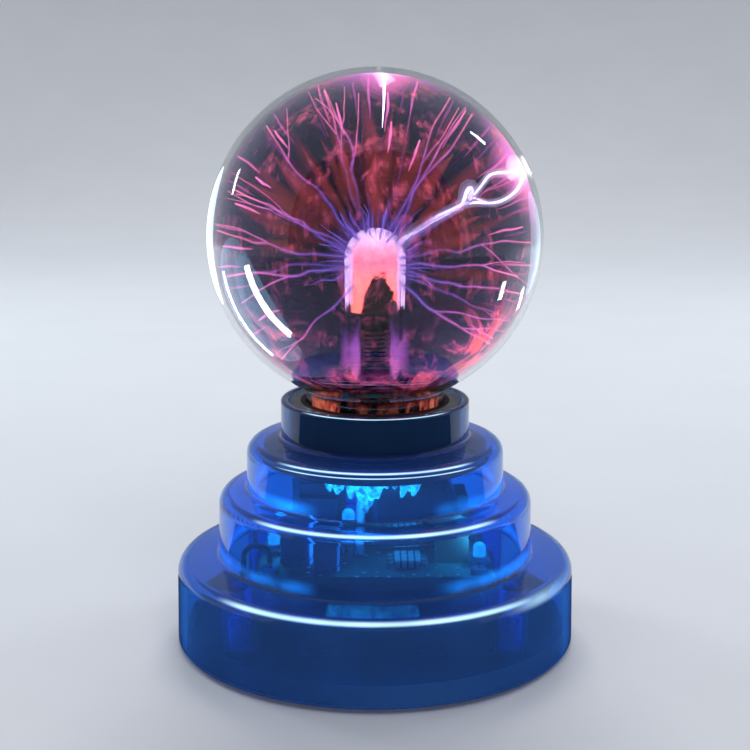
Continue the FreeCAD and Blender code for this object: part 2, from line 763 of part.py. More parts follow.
def battery_door():
    """The flat door, with two hooked tabs at its front edge and a latching nib at its back edge."""
    half_length, half_width = door_length / 2, door_width / 2
    plate = block(-half_length, half_length, -half_width, half_width, shell_lift, door_top)
    uprights = [edge for edge in plate.Edges if edge.BoundBox.ZLength > door_thickness / 2]
    pieces = [plate.makeFillet(1.2, uprights)]
    hook_low = cover_top + door_gap
    hook_high = hook_low + tab_thickness
    root_front = -bay_width / 2 + seat_gap
    root_back = root_front + tab_root
    for middle in (-tab_spacing / 2, tab_spacing / 2):
        left, right = middle - tab_width / 2, middle + tab_width / 2
        pieces.append(block(left, right, root_front, root_back, shell_lift + 1, hook_high))
        pieces.append(block(left, right, hinge_y - tab_reach, root_back, hook_low, hook_high))
    nib_back = half_width + door_gap / 2
    pieces.append(block(-5, 5, half_width - 1, nib_back, shell_lift + 0.9, shell_lift + 1.4))
    door = joined(pieces)
    for i in range(5):
        half = 6 - 0.8 * i
        groove = Part.makeCylinder(0.4, 2 * half, Vector(-half, half_width - 3.2 - 1.6 * i, shell_lift), X_AXIS)
        door = door.cut(groove)
    return door


# --- Circuit board and what stands on it -------------------------------------------------------
def circuit_board():
    """The board, with a hole at each corner."""
    half_length, half_width = board_length / 2, board_width / 2
    board = block(-half_length, half_length, -half_width, half_width, board_bottom, board_top)
    for x, y in corners(post_x, post_y):
        board = board.cut(cylinder(small_screw_radius + 0.25, board_bottom - 1, board_top + 1, x, y))
    return board


def standing_block(x, y, length, width, height, fillet=0.0, lift=0.0):
    """A box on the board, with its upper edges rounded."""
    low = board_top + lift
    body = block(x - length / 2, x + length / 2, y - width / 2, y + width / 2, low, low + height)
    if fillet > 0:
        rim = [edge for edge in body.Edges if edge.BoundBox.ZMin > low + height - 0.01]
        body = body.makeFillet(fillet, rim)
    return body


def transformer_core():
    """The ferrite frame that stands on the board and holds the coil between its legs."""
    length = coil_length + 2 * core_wall
    frame = standing_block(transformer_x, transformer_y, length, core_width, core_height, 0.6)
    room = coil_length / 2 + shaft_gap
    return frame.cut(block(transformer_x - room, transformer_x + room, transformer_y - core_width,
                           transformer_y + core_width, coil_bottom, board_top + core_height + 1))


def transformer_coil():
    """The potted high-voltage coil with its rounded top."""
    x_low, x_high = transformer_x - coil_length / 2, transformer_x + coil_length / 2
    y_low, y_high = transformer_y - coil_width / 2, transformer_y + coil_width / 2
    body = block(x_low, x_high, y_low, y_high, coil_bottom, coil_top)
    height = coil_top - coil_bottom
    body = body.makeFillet(1.6, [edge for edge in body.Edges if edge.BoundBox.ZLength > height - 0.1])
    rim = [edge for edge in body.Edges if edge.BoundBox.ZMin > coil_top - 0.01]
    return body.makeFillet(coil_fillet, rim)


def electrolytic(x, y, radius, height):
    """An upright electrolytic capacitor with the rolled groove near its foot."""
    can = cylinder(radius, board_top, board_top + height, x, y)
    can = can.makeFillet(0.5, [edge for edge in can.Edges if edge.BoundBox.ZMin > board_top + height - 0.1])
    groove = Part.makeTorus(radius + 0.25, 0.5, Vector(x, y, board_top + 1.6))
    return can.cut(groove)


def capacitors():
    """The two electrolytic capacitors at the left of the board."""
    return Part.makeCompound([electrolytic(-19.0, -9.0, 4.0, 12.0), electrolytic(-11.5, -14.5, 3.15, 9.0)])


def film_capacitor():
    """The box-shaped film capacitor in front of the transformer."""
    return standing_block(transformer_x + 8.7, -8.0, 8.0, 4.5, 7.0, 0.5)


def heat_sink():
    """The finned plate that cools the transistor."""
    fins = [standing_block(sink_x, sink_y, 14.0, 1.4, 15.0)]
    for i in range(5):
        fins.append(standing_block(sink_x - 6.4 + 3.2 * i, sink_y + 2.2, 1.1, 4.0, 15.0))
    return joined(fins)


def power_transistor():
    """The transistor that lies flat against the heat sink, on its three legs."""
    back = sink_y - 0.7
    tab = block(sink_x - 5, sink_x + 5, back - 1.2, back, board_top + 5, board_top + 14)
    body = block(sink_x - 5, sink_x + 5, back - 4.2, back - 1.2, board_top + 4, board_top + 11)
    legs = [
        block(sink_x + d - 0.4, sink_x + d + 0.4, back - 2.6, back - 2.1, board_top, board_top + 4.2)
        for d in (-2.5, 0, 2.5)
    ]
    return joined([tab, body, *legs])


def sound_chip():
    """The eight-leg chip of the sound circuit."""
    x, y = -11.4, -0.8
    body = standing_block(x, y, 9.4, 6.4, 3.2, 0.0, 0.6)
    legs = []
    for i in range(4):
        for side in (-1, 1):
            leg_x = x - 3.81 + 2.54 * i
            legs.append(block(leg_x - 0.3, leg_x + 0.3, y + side * 3.7 - 0.55, y + side * 3.7 + 0.55,
                              board_top, board_top + 2.4))
    return joined([body, *legs])


def resistors():
    """Five resistors that lie on the board, each with its two bent legs."""
    placed = []
    spots = [(-21.6, 3.5), (-21.6, 6.3), (7.8, -8.4), (7.8, -11.3), (7.8, -14.2)]
    for x, y in spots:
        height = board_top + 1.5
        body = Part.makeCylinder(1.15, 6.2, Vector(x - 3.1, y, height), X_AXIS)
        legs = []
        for side in (-1, 1):
            tip = x + side * 4.6
            legs.append(cylinder(0.3, board_top, height, tip, y))
            start = Vector(min(tip, x + side * 3.0), y, height)
            legs.append(Part.makeCylinder(0.3, abs(tip - (x + side * 3.0)), start, X_AXIS))
            legs.append(Part.makeSphere(0.3, Vector(tip, y, height)))
        placed.append(joined([body, *legs]))
    return Part.makeCompound(placed)


def lamp(x, y, stand):
    """A small round-topped lamp, held off the board by its two legs."""
    low = board_top + stand
    dome_centre_z = low + lamp_height - lamp_radius
    rim = cylinder(lamp_rim_radius, low, low + 1.0, x, y)
    barrel = cylinder(lamp_radius, low, dome_centre_z, x, y)
    dome = Part.makeSphere(lamp_radius, Vector(x, y, dome_centre_z))
    legs = [block(x + d - 0.25, x + d + 0.25, y - 0.25, y + 0.25, board_top, low + 0.5) for d in (-1.27, 1.27)]
    return joined([rim, barrel, dome, *legs])


def lamp_spots():
    """The (x, y, stand) of each lamp: one by the glue, and one near each of three edges of the board."""
    end, back = board_length / 2 - 3.0, board_width / 2 - 2.4
    return [(-6.4, -8.4, 8.0), (end, -11.5, 0.6), (-end, -2.4, 0.6), (transformer_x, back, 0.6)]


def blue_lamps():
    """The blue lamps that light the base from inside."""
    return Part.makeCompound([lamp(*spot) for spot in lamp_spots()])


# --- Switch and microphone ---------------------------------------------------------------------
def switch_body():
    """The metal-framed body of the slide switch, with its ears against the two bosses."""
    ear = switch_screw_spacing / 2 + 2.4
    plate = block(-ear, ear, switch_face - switch_plate, switch_face,
                  switch_height - switch_body_height / 2, switch_height + switch_body_height / 2)
    case = block(-switch_body_length / 2, switch_body_length / 2, switch_face - switch_body_depth,
                 switch_face - switch_plate, switch_height - switch_body_height / 2,
                 switch_height + switch_body_height / 2)
    body = joined([plate, case])
    room = block(-slot_half_width - 1, slot_half_width + 1, switch_face - switch_body_depth + 1.2,
                 switch_face - switch_plate, switch_height - 2.1, switch_height + 2.1)
    window = block(-slot_half_width, slot_half_width, switch_face - 2, switch_face + 1,
                   switch_height - slot_half_height, switch_height + slot_half_height)
    body = body.cut(room).cut(window)
    for x in switch_spots():
        body = body.cut(along_y(small_screw_radius + 0.2, 3, x, switch_face - 2, switch_height))
    pins = [
        block(dx - 0.35, dx + 0.35, switch_face - switch_body_depth - 2.4, switch_face - switch_body_depth,
              switch_height - 0.25, switch_height + 0.25)
        for dx in (-3.0, 0.0, 3.0)
    ]
    return joined([body, *pins])


def switch_slider():
    """The sliding knob, in the middle of its three positions, where the globe is on."""
    inner = switch_face - switch_body_depth + 1.2 + seat_gap / 2
    carriage = block(-knob_width / 2 - 0.8, knob_width / 2 + 0.8, inner,
                     switch_face - switch_plate - seat_gap / 2, switch_height - 1.9, switch_height + 1.9)
    tip_y = shell_foot_radius + knob_stand_out
    stalk = block(-knob_width / 2, knob_width / 2, inner, tip_y,
                  switch_height - knob_height / 2, switch_height + knob_height / 2)
    stalk = stalk.makeFillet(0.35, [edge for edge in stalk.Edges if edge.BoundBox.YMin > tip_y - 0.01])
    slider = joined([carriage, stalk])
    for i in (-1, 0, 1):
        groove = block(i * 1.1 - 0.22, i * 1.1 + 0.22, tip_y - 0.45, tip_y + 1,
                       switch_height - knob_height, switch_height + knob_height)
        slider = slider.cut(groove)
    return slider


def switch_screws():
    """The two screws through the switch's ears."""
    screw = small_screw(switch_plate + 2.4)
    screw.rotate(ORIGIN, X_AXIS, -90)
    return copies(screw, [(x, switch_face - switch_plate, switch_height) for x in switch_spots()])


def microphone():
    """The microphone's can, facing out through the small hole in the wall."""
    start = Vector(mic_face - mic_depth, 0, mic_height)
    can = Part.makeCylinder(mic_radius - shaft_gap, mic_depth, start, X_AXIS)
    can = can.makeFillet(0.4, [edge for edge in can.Edges if edge.BoundBox.XMin > mic_face - 0.01])
    return turned_to(can, mic_angle)


def mic_sleeve():
    """The rubber sleeve round the microphone, open at both ends."""
    outside = mic_cylinder(mic_radius + mic_sleeve_wall - shaft_gap, mic_depth, mic_depth)
    return outside.cut(mic_cylinder(mic_radius, mic_depth + 1, mic_depth + 2))


# --- Wires -------------------------------------------------------------------------------------
def hv_lead():
    """The thick lead from the sleeve in the neck down to the board."""
    return wire_along([
        (0, 0, neck_bottom),
        (0, 0, glue_bottom - 1.0),
        (-3.4, -3.0, glue_bottom - 6.5),
        (-3.6, -3.2, (glue_bottom + board_top) / 2 - 1.0),
        (-3.6, -3.2, board_top),
    ], hv_lead_radius)


def battery_wire(side_y, end_y):
    """The wire from one end plate's tab, out round the board's left edge and down to its top."""
    tab_x = -bay_length / 2
    tab_y = side_y * solder_tab_y
    low = bay_top + 1.2
    out = board_length / 2 + 3.4
    return wire_along([
        (tab_x, tab_y, low),
        (-out, tab_y, low),
        (-out, end_y, board_top + 4.4),
        (2.6 - board_length / 2, end_y, board_top + 4.0),
        (2.6 - board_length / 2, end_y, board_top),
    ], wire_radius)


def switch_wires():
    """Three wires from the switch's pins up over the bay to the underside of the board."""
    pin_end = switch_face - switch_body_depth - 2.4
    landing = board_width / 2 - 2.6
    wires = []
    for dx in (-3.0, 0.0, 3.0):
        wires.append(wire_along([
            (dx, pin_end, switch_height),
            (dx, bay_side + wire_stand_off, switch_height),
            (dx, bay_side + wire_crest, board_bottom - 2.2),
            (dx, landing, board_bottom - 2.2),
            (dx, landing, board_bottom),
        ], wire_radius))
    return Part.makeCompound(wires)


def mic_wires():
    """Two wires from the microphone's back, up over the bay to the underside of the board."""
    outwards = Vector(*polar(1, mic_angle), 0)
    landing = Vector(16.0, board_width / 2 - 2.6, board_bottom)
    wires = []
    for side in (-1, 1):
        across = Vector(outwards.y, -outwards.x, 0) * (side * 1.3)
        start = outwards * (mic_face - mic_depth) + across + Z_AXIS * mic_height
        end = landing + X_AXIS * (side * 1.3)
        below = end - Z_AXIS * 2.2
        wires.append(wire_along([
            tuple(start),
            tuple(start - outwards * (start.y - bay_side - wire_stand_off) / outwards.y),
            tuple(below + Y_AXIS * (bay_side + wire_crest - landing.y)),
            tuple(below),
            tuple(end),
        ], wire_radius))
    return Part.makeCompound(wires)


# --- All the pieces, by name -------------------------------------------------------------------
def all_pieces():
    """Every sub-part of the plasma ball as node name to shape."""
    pieces = {
        "globe_glass": glass_globe(),
        "electrode_tube": electrode_tube(),
        "exhaust_tip": exhaust_tip(),
        "electrode_lining": electrode_lining(),
        "contact_tip": cylinder(tip_radius, shoulder_top, tip_top),
        "lead_sleeve": lead_sleeve(),
        "contact_spring": contact_spring(),
        "stem_plug": stem_plug(),
        "globe_cup": globe_cup(),
        "neck_gasket": neck_gasket(),
        "neck_glue": neck_glue(),
        "cup_screws": cup_screws(),
        "upper_shell": upper_shell(),
        "bottom_cover": bottom_cover(),
        "rubber_feet": rubber_feet(),
        "case_screws": case_screws(),
        "battery_springs": battery_springs(),
        "link_plates": link_plates(),
        "end_plates": end_plates(),
        "battery_door": battery_door(),
        "circuit_board": circuit_board(),
        "board_screws": board_screws(),
        "transformer_core": transformer_core(),
        "transformer_coil": transformer_coil(),
        "capacitors": capacitors(),
        "film_capacitor": film_capacitor(),
        "heat_sink": heat_sink(),
        "power_transistor": power_transistor(),
        "sound_chip": sound_chip(),
        "resistors": resistors(),
        "blue_lamps": blue_lamps(),
        "switch_body": switch_body(),
        "switch_slider": switch_slider(),
        "switch_screws": switch_screws(),
        "microphone": microphone(),
        "mic_sleeve": mic_sleeve(),
        "hv_lead": hv_lead(),
        "battery_wire_red": battery_wire(1, 9.6),
        "battery_wire_black": battery_wire(-1, -9.6),
        "switch_wires": switch_wires(),
        "mic_wires": mic_wires(),
    }
    for index in range(cell_count):
        pieces[f"battery_cell_{index + 1}"] = battery_cell(index)
    return pieces


os.makedirs("parts", exist_ok=True)
for name, shape in all_pieces().items():
    shape.exportStep(f"parts/{name}.step")
print(f"overall height {globe_centre + globe_radius:.2f} mm, base {2 * shell_foot_radius:.2f} mm across")
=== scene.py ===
"""Looks, light and camera for a plasma ball on a stepped base of clear blue plastic."""
import logging
import math
import random
from dataclasses import dataclass, field
from enum import Enum
from typing import Dict, List, Optional, Sequence, Tuple, Union

import bpy
from mathutils import Matrix, Vector


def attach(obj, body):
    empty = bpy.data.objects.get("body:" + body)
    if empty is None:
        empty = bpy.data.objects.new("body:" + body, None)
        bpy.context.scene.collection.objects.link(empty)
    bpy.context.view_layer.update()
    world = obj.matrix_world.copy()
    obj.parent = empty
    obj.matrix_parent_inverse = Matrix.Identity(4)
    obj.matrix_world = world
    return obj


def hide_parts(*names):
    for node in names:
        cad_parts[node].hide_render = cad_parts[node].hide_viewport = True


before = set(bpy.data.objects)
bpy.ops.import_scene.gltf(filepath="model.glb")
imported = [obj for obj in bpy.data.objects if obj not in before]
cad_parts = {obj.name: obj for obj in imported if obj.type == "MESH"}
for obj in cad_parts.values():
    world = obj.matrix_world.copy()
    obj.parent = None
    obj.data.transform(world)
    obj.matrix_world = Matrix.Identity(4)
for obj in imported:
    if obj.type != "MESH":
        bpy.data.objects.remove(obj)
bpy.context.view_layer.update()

log = logging.getLogger("plasma_ball")
Colour = Tuple[float, float, float]
MM = 0.001
SOLID = 1.0
GOLDEN_TURN = 2.39996


# ---------------------------------------------------------------- node maths

class Sock:
    """An output of a node, with arithmetic that adds Math nodes behind it."""

    def __init__(self, net: "Net", out: bpy.types.NodeSocket) -> None:
        """Wraps one output.

        Args:
            net: the finish's node tree.
            out: the output socket.
        """
        self.net = net
        self.out = out

    def math(self, operation: str, *values: "Value", clamp: bool = False) -> "Sock":
        """A Math node.

        Args:
            operation: Blender's name of the operation.
            values: its inputs in order.
            clamp: keep the result from 0 to 1.

        Returns:
            The node's output.
        """
        return self.net.add("ShaderNodeMath", {"operation": operation, "use_clamp": clamp}, dict(enumerate(values)))

    def __add__(self, other: "Value") -> "Sock":
        """self + other."""
        return self.math("ADD", self, other)

    __radd__ = __add__

    def __sub__(self, other: "Value") -> "Sock":
        """self - other."""
        return self.math("SUBTRACT", self, other)

    def __rsub__(self, other: "Value") -> "Sock":
        """other - self."""
        return self.math("SUBTRACT", other, self)

    def __mul__(self, other: "Value") -> "Sock":
        """self * other."""
        return self.math("MULTIPLY", self, other)

    __rmul__ = __mul__

    def __truediv__(self, other: "Value") -> "Sock":
        """self / other."""
        return self.math("DIVIDE", self, other)

    def __pow__(self, other: "Value") -> "Sock":
        """self ** other."""
        return self.math("POWER", self, other)

    def size(self) -> "Sock":
        """The value without its sign."""
        return self.math("ABSOLUTE", self)

    def clamped(self) -> "Sock":
        """The value kept from 0 to 1."""
        return self.math("ADD", self, 0.0, clamp=True)

    def rise(self, low: float, high: float) -> "Sock":
        """A smooth step.

        Args:
            low: where it is 0.
            high: where it is 1; below low for a falling step.

        Returns:
            A value from 0 to 1.
        """
        return self.net.add("ShaderNodeMapRange", {"interpolation_type": "SMOOTHSTEP", "clamp": True},
                            {0: self, 1: low, 2: high, 3: 0.0, 4: 1.0} if low < high
                            else {0: self, 1: high, 2: low, 3: 1.0, 4: 0.0})

    def band(self, centre: float, reach: float) -> "Sock":
        """1 at centre, falling smoothly to 0 at reach from it."""
        return (self - centre).size().rise(reach, 0.0)


Value = Union[float, Sequence[float], Sock]


class Net:
    """The node tree of one finish."""

    def __init__(self, name: str) -> None:
        """Starts a material with an empty tree.

        Args:
            name: the material's name.
        """
        self.material = bpy.data.materials.new(name)
        self.material.use_nodes = True
        self.tree = self.material.node_tree
        self.tree.nodes.clear()
        self.exit = self.tree.nodes.new("ShaderNodeOutputMaterial")

    def add(self, kind: str, settings: Optional[Dict] = None, inputs: Optional[Dict] = None,
            output: Union[int, str] = 0) -> Sock:
        """Adds any node.

        Args:
            kind: Blender's type of the node.
            settings: its properties, set first; "stops" are a ramp's (place, colour) pairs.
            inputs: values or links by socket index or name.
            output: which output to hand back.

        Returns:
            That output.
        """
        node = self.tree.nodes.new(kind)
        for key, value in (settings or {}).items():
            if key == "stops":
                stops = node.color_ramp.elements
                while len(stops) < len(value):
                    stops.new(0.5)
                for stop, (place, colour) in zip(stops, value):
                    stop.position, stop.color = place, (*colour, 1)
            else:
                setattr(node, key, value)
        for key, value in (inputs or {}).items():
            socket = node.inputs[key]
            if isinstance(value, Sock):
                self.tree.links.new(value.out, socket)
            elif isinstance(value, (tuple, list)) and len(socket.default_value) == 4 and len(value) == 3:
                socket.default_value = (*value, 1)
            else:
                socket.default_value = value
        return Sock(self, node.outputs[output])

    def place(self) -> Sock:
        """The point on the object, in millimetres."""
        at = self.add("ShaderNodeTexCoord", output="Object")
        return self.vector("SCALE", at, Scale=1000.0)

    def vector(self, operation: str, *values: Value, output: int = 0, **named: Value) -> Sock:
        """A Vector Math node.

        Args:
            operation: Blender's name of the operation.
            values: its vector inputs in order.
            output: 0 for a vector and 1 for a number.
            named: inputs by name.

        Returns:
            That output.
        """
        inputs: Dict = dict(enumerate(values))
        inputs.update(named)
        return self.add("ShaderNodeVectorMath", {"operation": operation}, inputs, output)

    def axes(self, at: Sock) -> Tuple[Sock, Sock, Sock]:
        """The three parts of a vector.

        Args:
            at: the vector.

        Returns:
            Its x, y and z.
        """
        node = self.tree.nodes.new("ShaderNodeSeparateXYZ")
        self.tree.links.new(at.out, node.inputs[0])
        return tuple(Sock(self, out) for out in node.outputs)  # type: ignore[return-value]

    def away(self, at: Sock, centre: Sequence[float]) -> Sock:
        """How far a point is from a centre, in the point's own unit."""
        return self.vector("DISTANCE", at, tuple(centre), output=1)

    def noise(self, at: Sock, scale: float, detail: float = 2.0, rough: float = 0.5, bent: float = 0.0) -> Sock:
        """Fractal noise.

        Args:
            at: the point.
            scale: waves per unit.
            detail: octaves.
            rough: how much the small ones count.
            bent: how far the pattern is distorted.

        Returns:
            A value round 0.5.
        """
        return self.add("ShaderNodeTexNoise", None, {"Vector": at, "Scale": scale, "Detail": detail,
                                                     "Roughness": rough, "Distortion": bent})

    def cells(self, at: Sock, scale: float, random_places: float = 1.0) -> Sock:
        """The distance to the nearest of many scattered points."""
        return self.add("ShaderNodeTexVoronoi", None, {"Vector": at, "Scale": scale, "Randomness": random_places})

    def ramp(self, at: Value, *stops: Tuple[float, Colour]) -> Sock:
        """A colour that changes along a value."""
        return self.add("ShaderNodeValToRGB", {"stops": stops}, {0: at})

    def mix(self, share: Value, first: Value, second: Value) -> Sock:
        """first where share is 0, second where it is 1."""
        return self.add("ShaderNodeMix", {"data_type": "RGBA"}, {0: share, 6: first, 7: second}, 2)

    def tone(self, colour: Value, by: Value) -> Sock:
        """A colour made brighter or darker."""
        return self.vector("SCALE", colour, Scale=by)

    def bump(self, height: Sock, depth: float) -> Sock:
        """A relief.

        Args:
            height: from 0 to 1.
            depth: its depth in millimetres.

        Returns:
            The normal.
        """
        return self.add("ShaderNodeBump", None, {"Strength": 1.0, "Distance": depth * MM, "Height": height})

    def skin(self, **values: Value) -> Sock:
        """The Principled shader at the surface.

        Args:
            values: its inputs by name, with _ for a space, as in Base_Color.

        Returns:
            The shader's output.
        """
        made = self.add("ShaderNodeBsdfPrincipled", None, {key.replace("_", " "): v for key, v in values.items()})
        self.tree.links.new(made.out, self.exit.inputs["Surface"])
        return made

    def lit(self, colour: Value, strength: float, **more: Value) -> Sock:
        """A skin that gives light and reflects none.

        Args:
            colour: the light's colour.
            strength: how bright it is.
            more: other inputs of the shader, such as Alpha.

        Returns:
            The shader's output.
        """
        return self.skin(Base_Color=(0.0, 0.0, 0.0), Roughness=1.0, Specular_IOR_Level=0.0, Emission_Color=colour,
                         Emission_Strength=strength, **more)

    def depth(self, colour: Colour, density: float) -> None:
        """What the inside takes off the light: colour and density per metre."""
        made = self.add("ShaderNodeVolumeAbsorption", None, {"Color": colour, "Density": density})
        self.tree.links.new(made.out, self.exit.inputs["Volume"])


# ---------------------------------------------------------------- finishes

@dataclass(frozen=True)
class Finish:
    """One finish; its material is made when first asked for."""

    name: str

    def material(self) -> bpy.types.Material:
        """The Blender material of this finish.

        Returns:
            The material, made by dress the first time.
        """
        made = bpy.data.materials.get(self.name)
        if made is None:
            net = Net(self.name)
            self.dress(net)
            made = net.material
        return made

    def dress(self, net: Net) -> None:
        """Adds the nodes.

        Args:
            net: the finish's node tree.
        """
        raise NotImplementedError


@dataclass(frozen=True)
class BlownGlass(Finish):
    """Clear blown glass with a faint waviness left by the blowing."""

    tint: Colour = (1.0, 1.0, 1.0)
    ior: float = 1.47
    wave: float = 0.004

    def dress(self, net: Net) -> None:
        """Clear refracting skin with the waviness as relief.

        Args:
            net: the finish's node tree.
        """
        at = net.place()
        net.skin(Base_Color=self.tint, Transmission_Weight=1.0, Roughness=0.0, IOR=self.ior,
                 Normal=net.bump(net.noise(at, 0.05, 2.0), self.wave))


@dataclass(frozen=True)
class SmokyGas(Finish):
    """The gas filling, which darkens what is seen through the globe."""

    passed: Colour = (0.72, 0.71, 0.80)
    density: float = 260.0

    def dress(self, net: Net) -> None:
        """A skin that bends nothing round an absorbing inside.

        Args:
            net: the finish's node tree.
        """
        net.skin(Base_Color=(1.0, 1.0, 1.0), Transmission_Weight=1.0, Roughness=0.0, IOR=1.0, Specular_IOR_Level=0.0)
        net.depth(self.passed, self.density)


@dataclass(frozen=True)
class ClearBlue(Finish):
    """Transparent blue moulding with painted light: a painted cyan glow of the inner lamps where the steps meet and
    through its body, painted highlights along its front edges, and painted shade darkening the throat.

    steps holds (outer radius, top) of each step in millimetres, with how thick its painted edge highlight is.
    """

    tint: Colour = (0.17, 0.47, 0.92)
    passed: Colour = (0.02, 0.62, 0.90)
    density: float = 320.0
    # colour of the painted glow of the inner lamps in the inner corner bands
    glow: Colour = (0.02, 0.40, 1.0)
    # pale colour of the painted highlights along the front edges and on the right shoulder
    edge: Colour = (0.50, 0.82, 1.0)
    # colour of a faint painted glow of the inner lamps through the whole body, not the plastic's own colour
    body: Colour = (0.05, 0.17, 0.90)
    # how much painted shade darkens the tint of the throat above the top step
    painted_collar_shade: float = 0.55
    # how far below each step's top its painted highlight line lies
    highlight_line_drop: float = 0.5
    steps: Tuple[Tuple[float, float, float], ...] = ((22.6, 61.3, 0.16), (31.4, 50.55, 0.30), (31.4, 49.65, 0.18),
                                                     (38.4, 38.0, 0.50), (48.8, 21.5, 0.62))

    def dress(self, net: Net) -> None:
        """Tinted refracting plastic with a painted cyan glow in the inner corner bands, painted pale highlights along
        the front edges and painted shade over the throat.

        Args:
            net: the finish's node tree.
        """
        at = net.place()
        x, y, z = net.axes(at)
        round_axis = (x * x + y * y) ** 0.5
        flow = net.noise(at, 0.09, 2.0)
        upper = z.band(40.2, 2.4) * round_axis.rise(31.2, 29.6)
        middle = z.band(24.0, 2.4) * round_axis.rise(38.2, 36.6)
        sides = x.size().rise(12.0, 19.0)
        # painted glow of the inner lamps, gathered where the steps meet
        painted_corner_glow = (upper + middle) * sides * (flow * 2.2 - 0.5).clamped()
        # the painted highlights show only towards the front; this share fades them off to the sides
        along = (y.size() / round_axis).rise(0.64, 0.80)
        edges: Optional[Sock] = None
        # a painted highlight line along the rounded top edge of each step, where a lamp's reflection would fall
        for radius, top, thick in self.steps:
            line = z.band(top - self.highlight_line_drop, thick) * round_axis.rise(radius - 2.4, radius - 2.0)
            line = line * round_axis.rise(radius + 1.6, radius + 1.2)
            edges = line if edges is None else edges + line
        # a painted highlight on the lower step's right shoulder
        patch = x.band(38.0, 10.0) * z.band(20.3, 1.7) * round_axis.rise(45.5, 47.5) * y.rise(-4.0, -12.0)
        # painted shade: the throat above the top step is darker
        collar_shade = z.rise(50.2, 52.2)
        # painted glow of the inner lamps: the corner bands plus a faint glow through the body, weaker in the throat
        inner = net.vector("ADD", net.tone(self.glow, painted_corner_glow),
                           net.tone(self.body, (0.008 + 0.032 * flow) * (1.0 - 0.8 * collar_shade)))
        # painted lamp glow plus the painted edge and shoulder highlights, all given as emission
        light = net.vector("ADD", inner,
                           net.tone(self.edge, (edges * along * 1.1 + 0.42 * patch) * (0.35 + 0.9 * flow)))
        net.skin(Base_Color=net.tone(self.tint, 1.0 - self.painted_collar_shade * collar_shade), Transmission_Weight=0.93,
                 IOR=1.49, Roughness=0.02 + 0.05 * flow,
                 Emission_Color=light, Emission_Strength=1.5,
                 Normal=net.bump(net.noise(at, 0.25, 2.0), 0.004))
        net.depth(self.passed, self.density)


@dataclass(frozen=True)
class Moulded(Finish):
    """Opaque moulded plastic with a fine spark-eroded grain and faint flow marks."""

    colour: Colour = (0.02, 0.02, 0.024)
    roughness: float = 0.42
    grain: float = 5.0
    depth: float = 0.010
    coat: float = 0.0

    def dress(self, net: Net) -> None:
        """Grain in the relief, flow marks in colour and gloss, rubbed patches a little smoother.

        Args:
            net: the finish's node tree.
        """
        at = net.place()
        flow = net.noise(at, 0.13, 2.0, 0.55, 0.6)
        rub = net.noise(at, 0.5, 4.0).rise(0.56, 0.72)
        net.skin(Base_Color=net.tone(self.colour, 0.78 + 0.44 * flow),
                 Roughness=(self.roughness + 0.12 * flow - 0.10 * rub).clamped(), Coat_Weight=self.coat,
                 Normal=net.bump(net.noise(at, self.grain, 3.0), self.depth))


@dataclass(frozen=True)
class SoftRubber(Finish):
    """Dull rubber with dust in its pores."""

    colour: Colour = (0.018, 0.018, 0.02)

    def dress(self, net: Net) -> None:
        """Pores in the relief and a pale bloom over the colour.

        Args:
            net: the finish's node tree.
        """
        at = net.place()
        pores = net.cells(at, 3.2).rise(0.0, 0.55)
        bloom = net.noise(at, 0.7, 4.0).rise(0.5, 0.8)
        net.skin(Base_Color=net.mix(0.16 * bloom, self.colour, (0.22, 0.22, 0.22)),
                 Roughness=0.72 + 0.16 * bloom, Normal=net.bump(pores, 0.02))


@dataclass(frozen=True)
class Metal(Finish):
    """Bare or plated metal with fine draw lines along one axis and a little tarnish."""

    colour: Colour = (0.62, 0.61, 0.58)
    tarnish: Colour = (0.32, 0.27, 0.2)
    roughness: float = 0.26
    lines: Tuple[float, float, float] = (0.4, 6.0, 6.0)

    def dress(self, net: Net) -> None:
        """Draw lines in relief and gloss, tarnish in the colour.

        Args:
            net: the finish's node tree.
        """
        at = net.place()
        drawn = net.noise(net.vector("MULTIPLY", at, self.lines), 1.0, 2.0)
        spots = net.noise(at, 0.6, 4.0).rise(0.55, 0.8)
        net.skin(Base_Color=net.mix(0.5 * spots, self.colour, self.tarnish), Metallic=1.0,
                 Roughness=self.roughness + 0.14 * drawn + 0.2 * spots, Normal=net.bump(drawn, 0.004))


@dataclass(frozen=True)
class HotGlue(Finish):
    """Milky hot-melt glue, lit from below by the blue lamps."""

    colour: Colour = (0.34, 0.68, 0.86)
    glow: Colour = (0.08, 0.85, 0.78)

    def dress(self, net: Net) -> None:
        """Cloudy body, glossy skin, light gathered in the thick lumps.

        Args:
            net: the finish's node tree.
        """
        at = net.place()
        _, _, z = net.axes(at)
        lumps = net.noise(at, 0.45, 3.0, 0.6, 0.8)
        lit = (lumps * 4.5 - 1.8).clamped() * z.rise(47.5, 43.5)
        net.skin(Base_Color=net.tone(self.colour, 0.6 + 0.8 * lumps), Transmission_Weight=0.35, IOR=1.46,
                 Roughness=0.16 + 0.2 * lumps, Emission_Color=net.tone(self.glow, lit), Emission_Strength=2.6,
                 Normal=net.bump(lumps, 0.08))


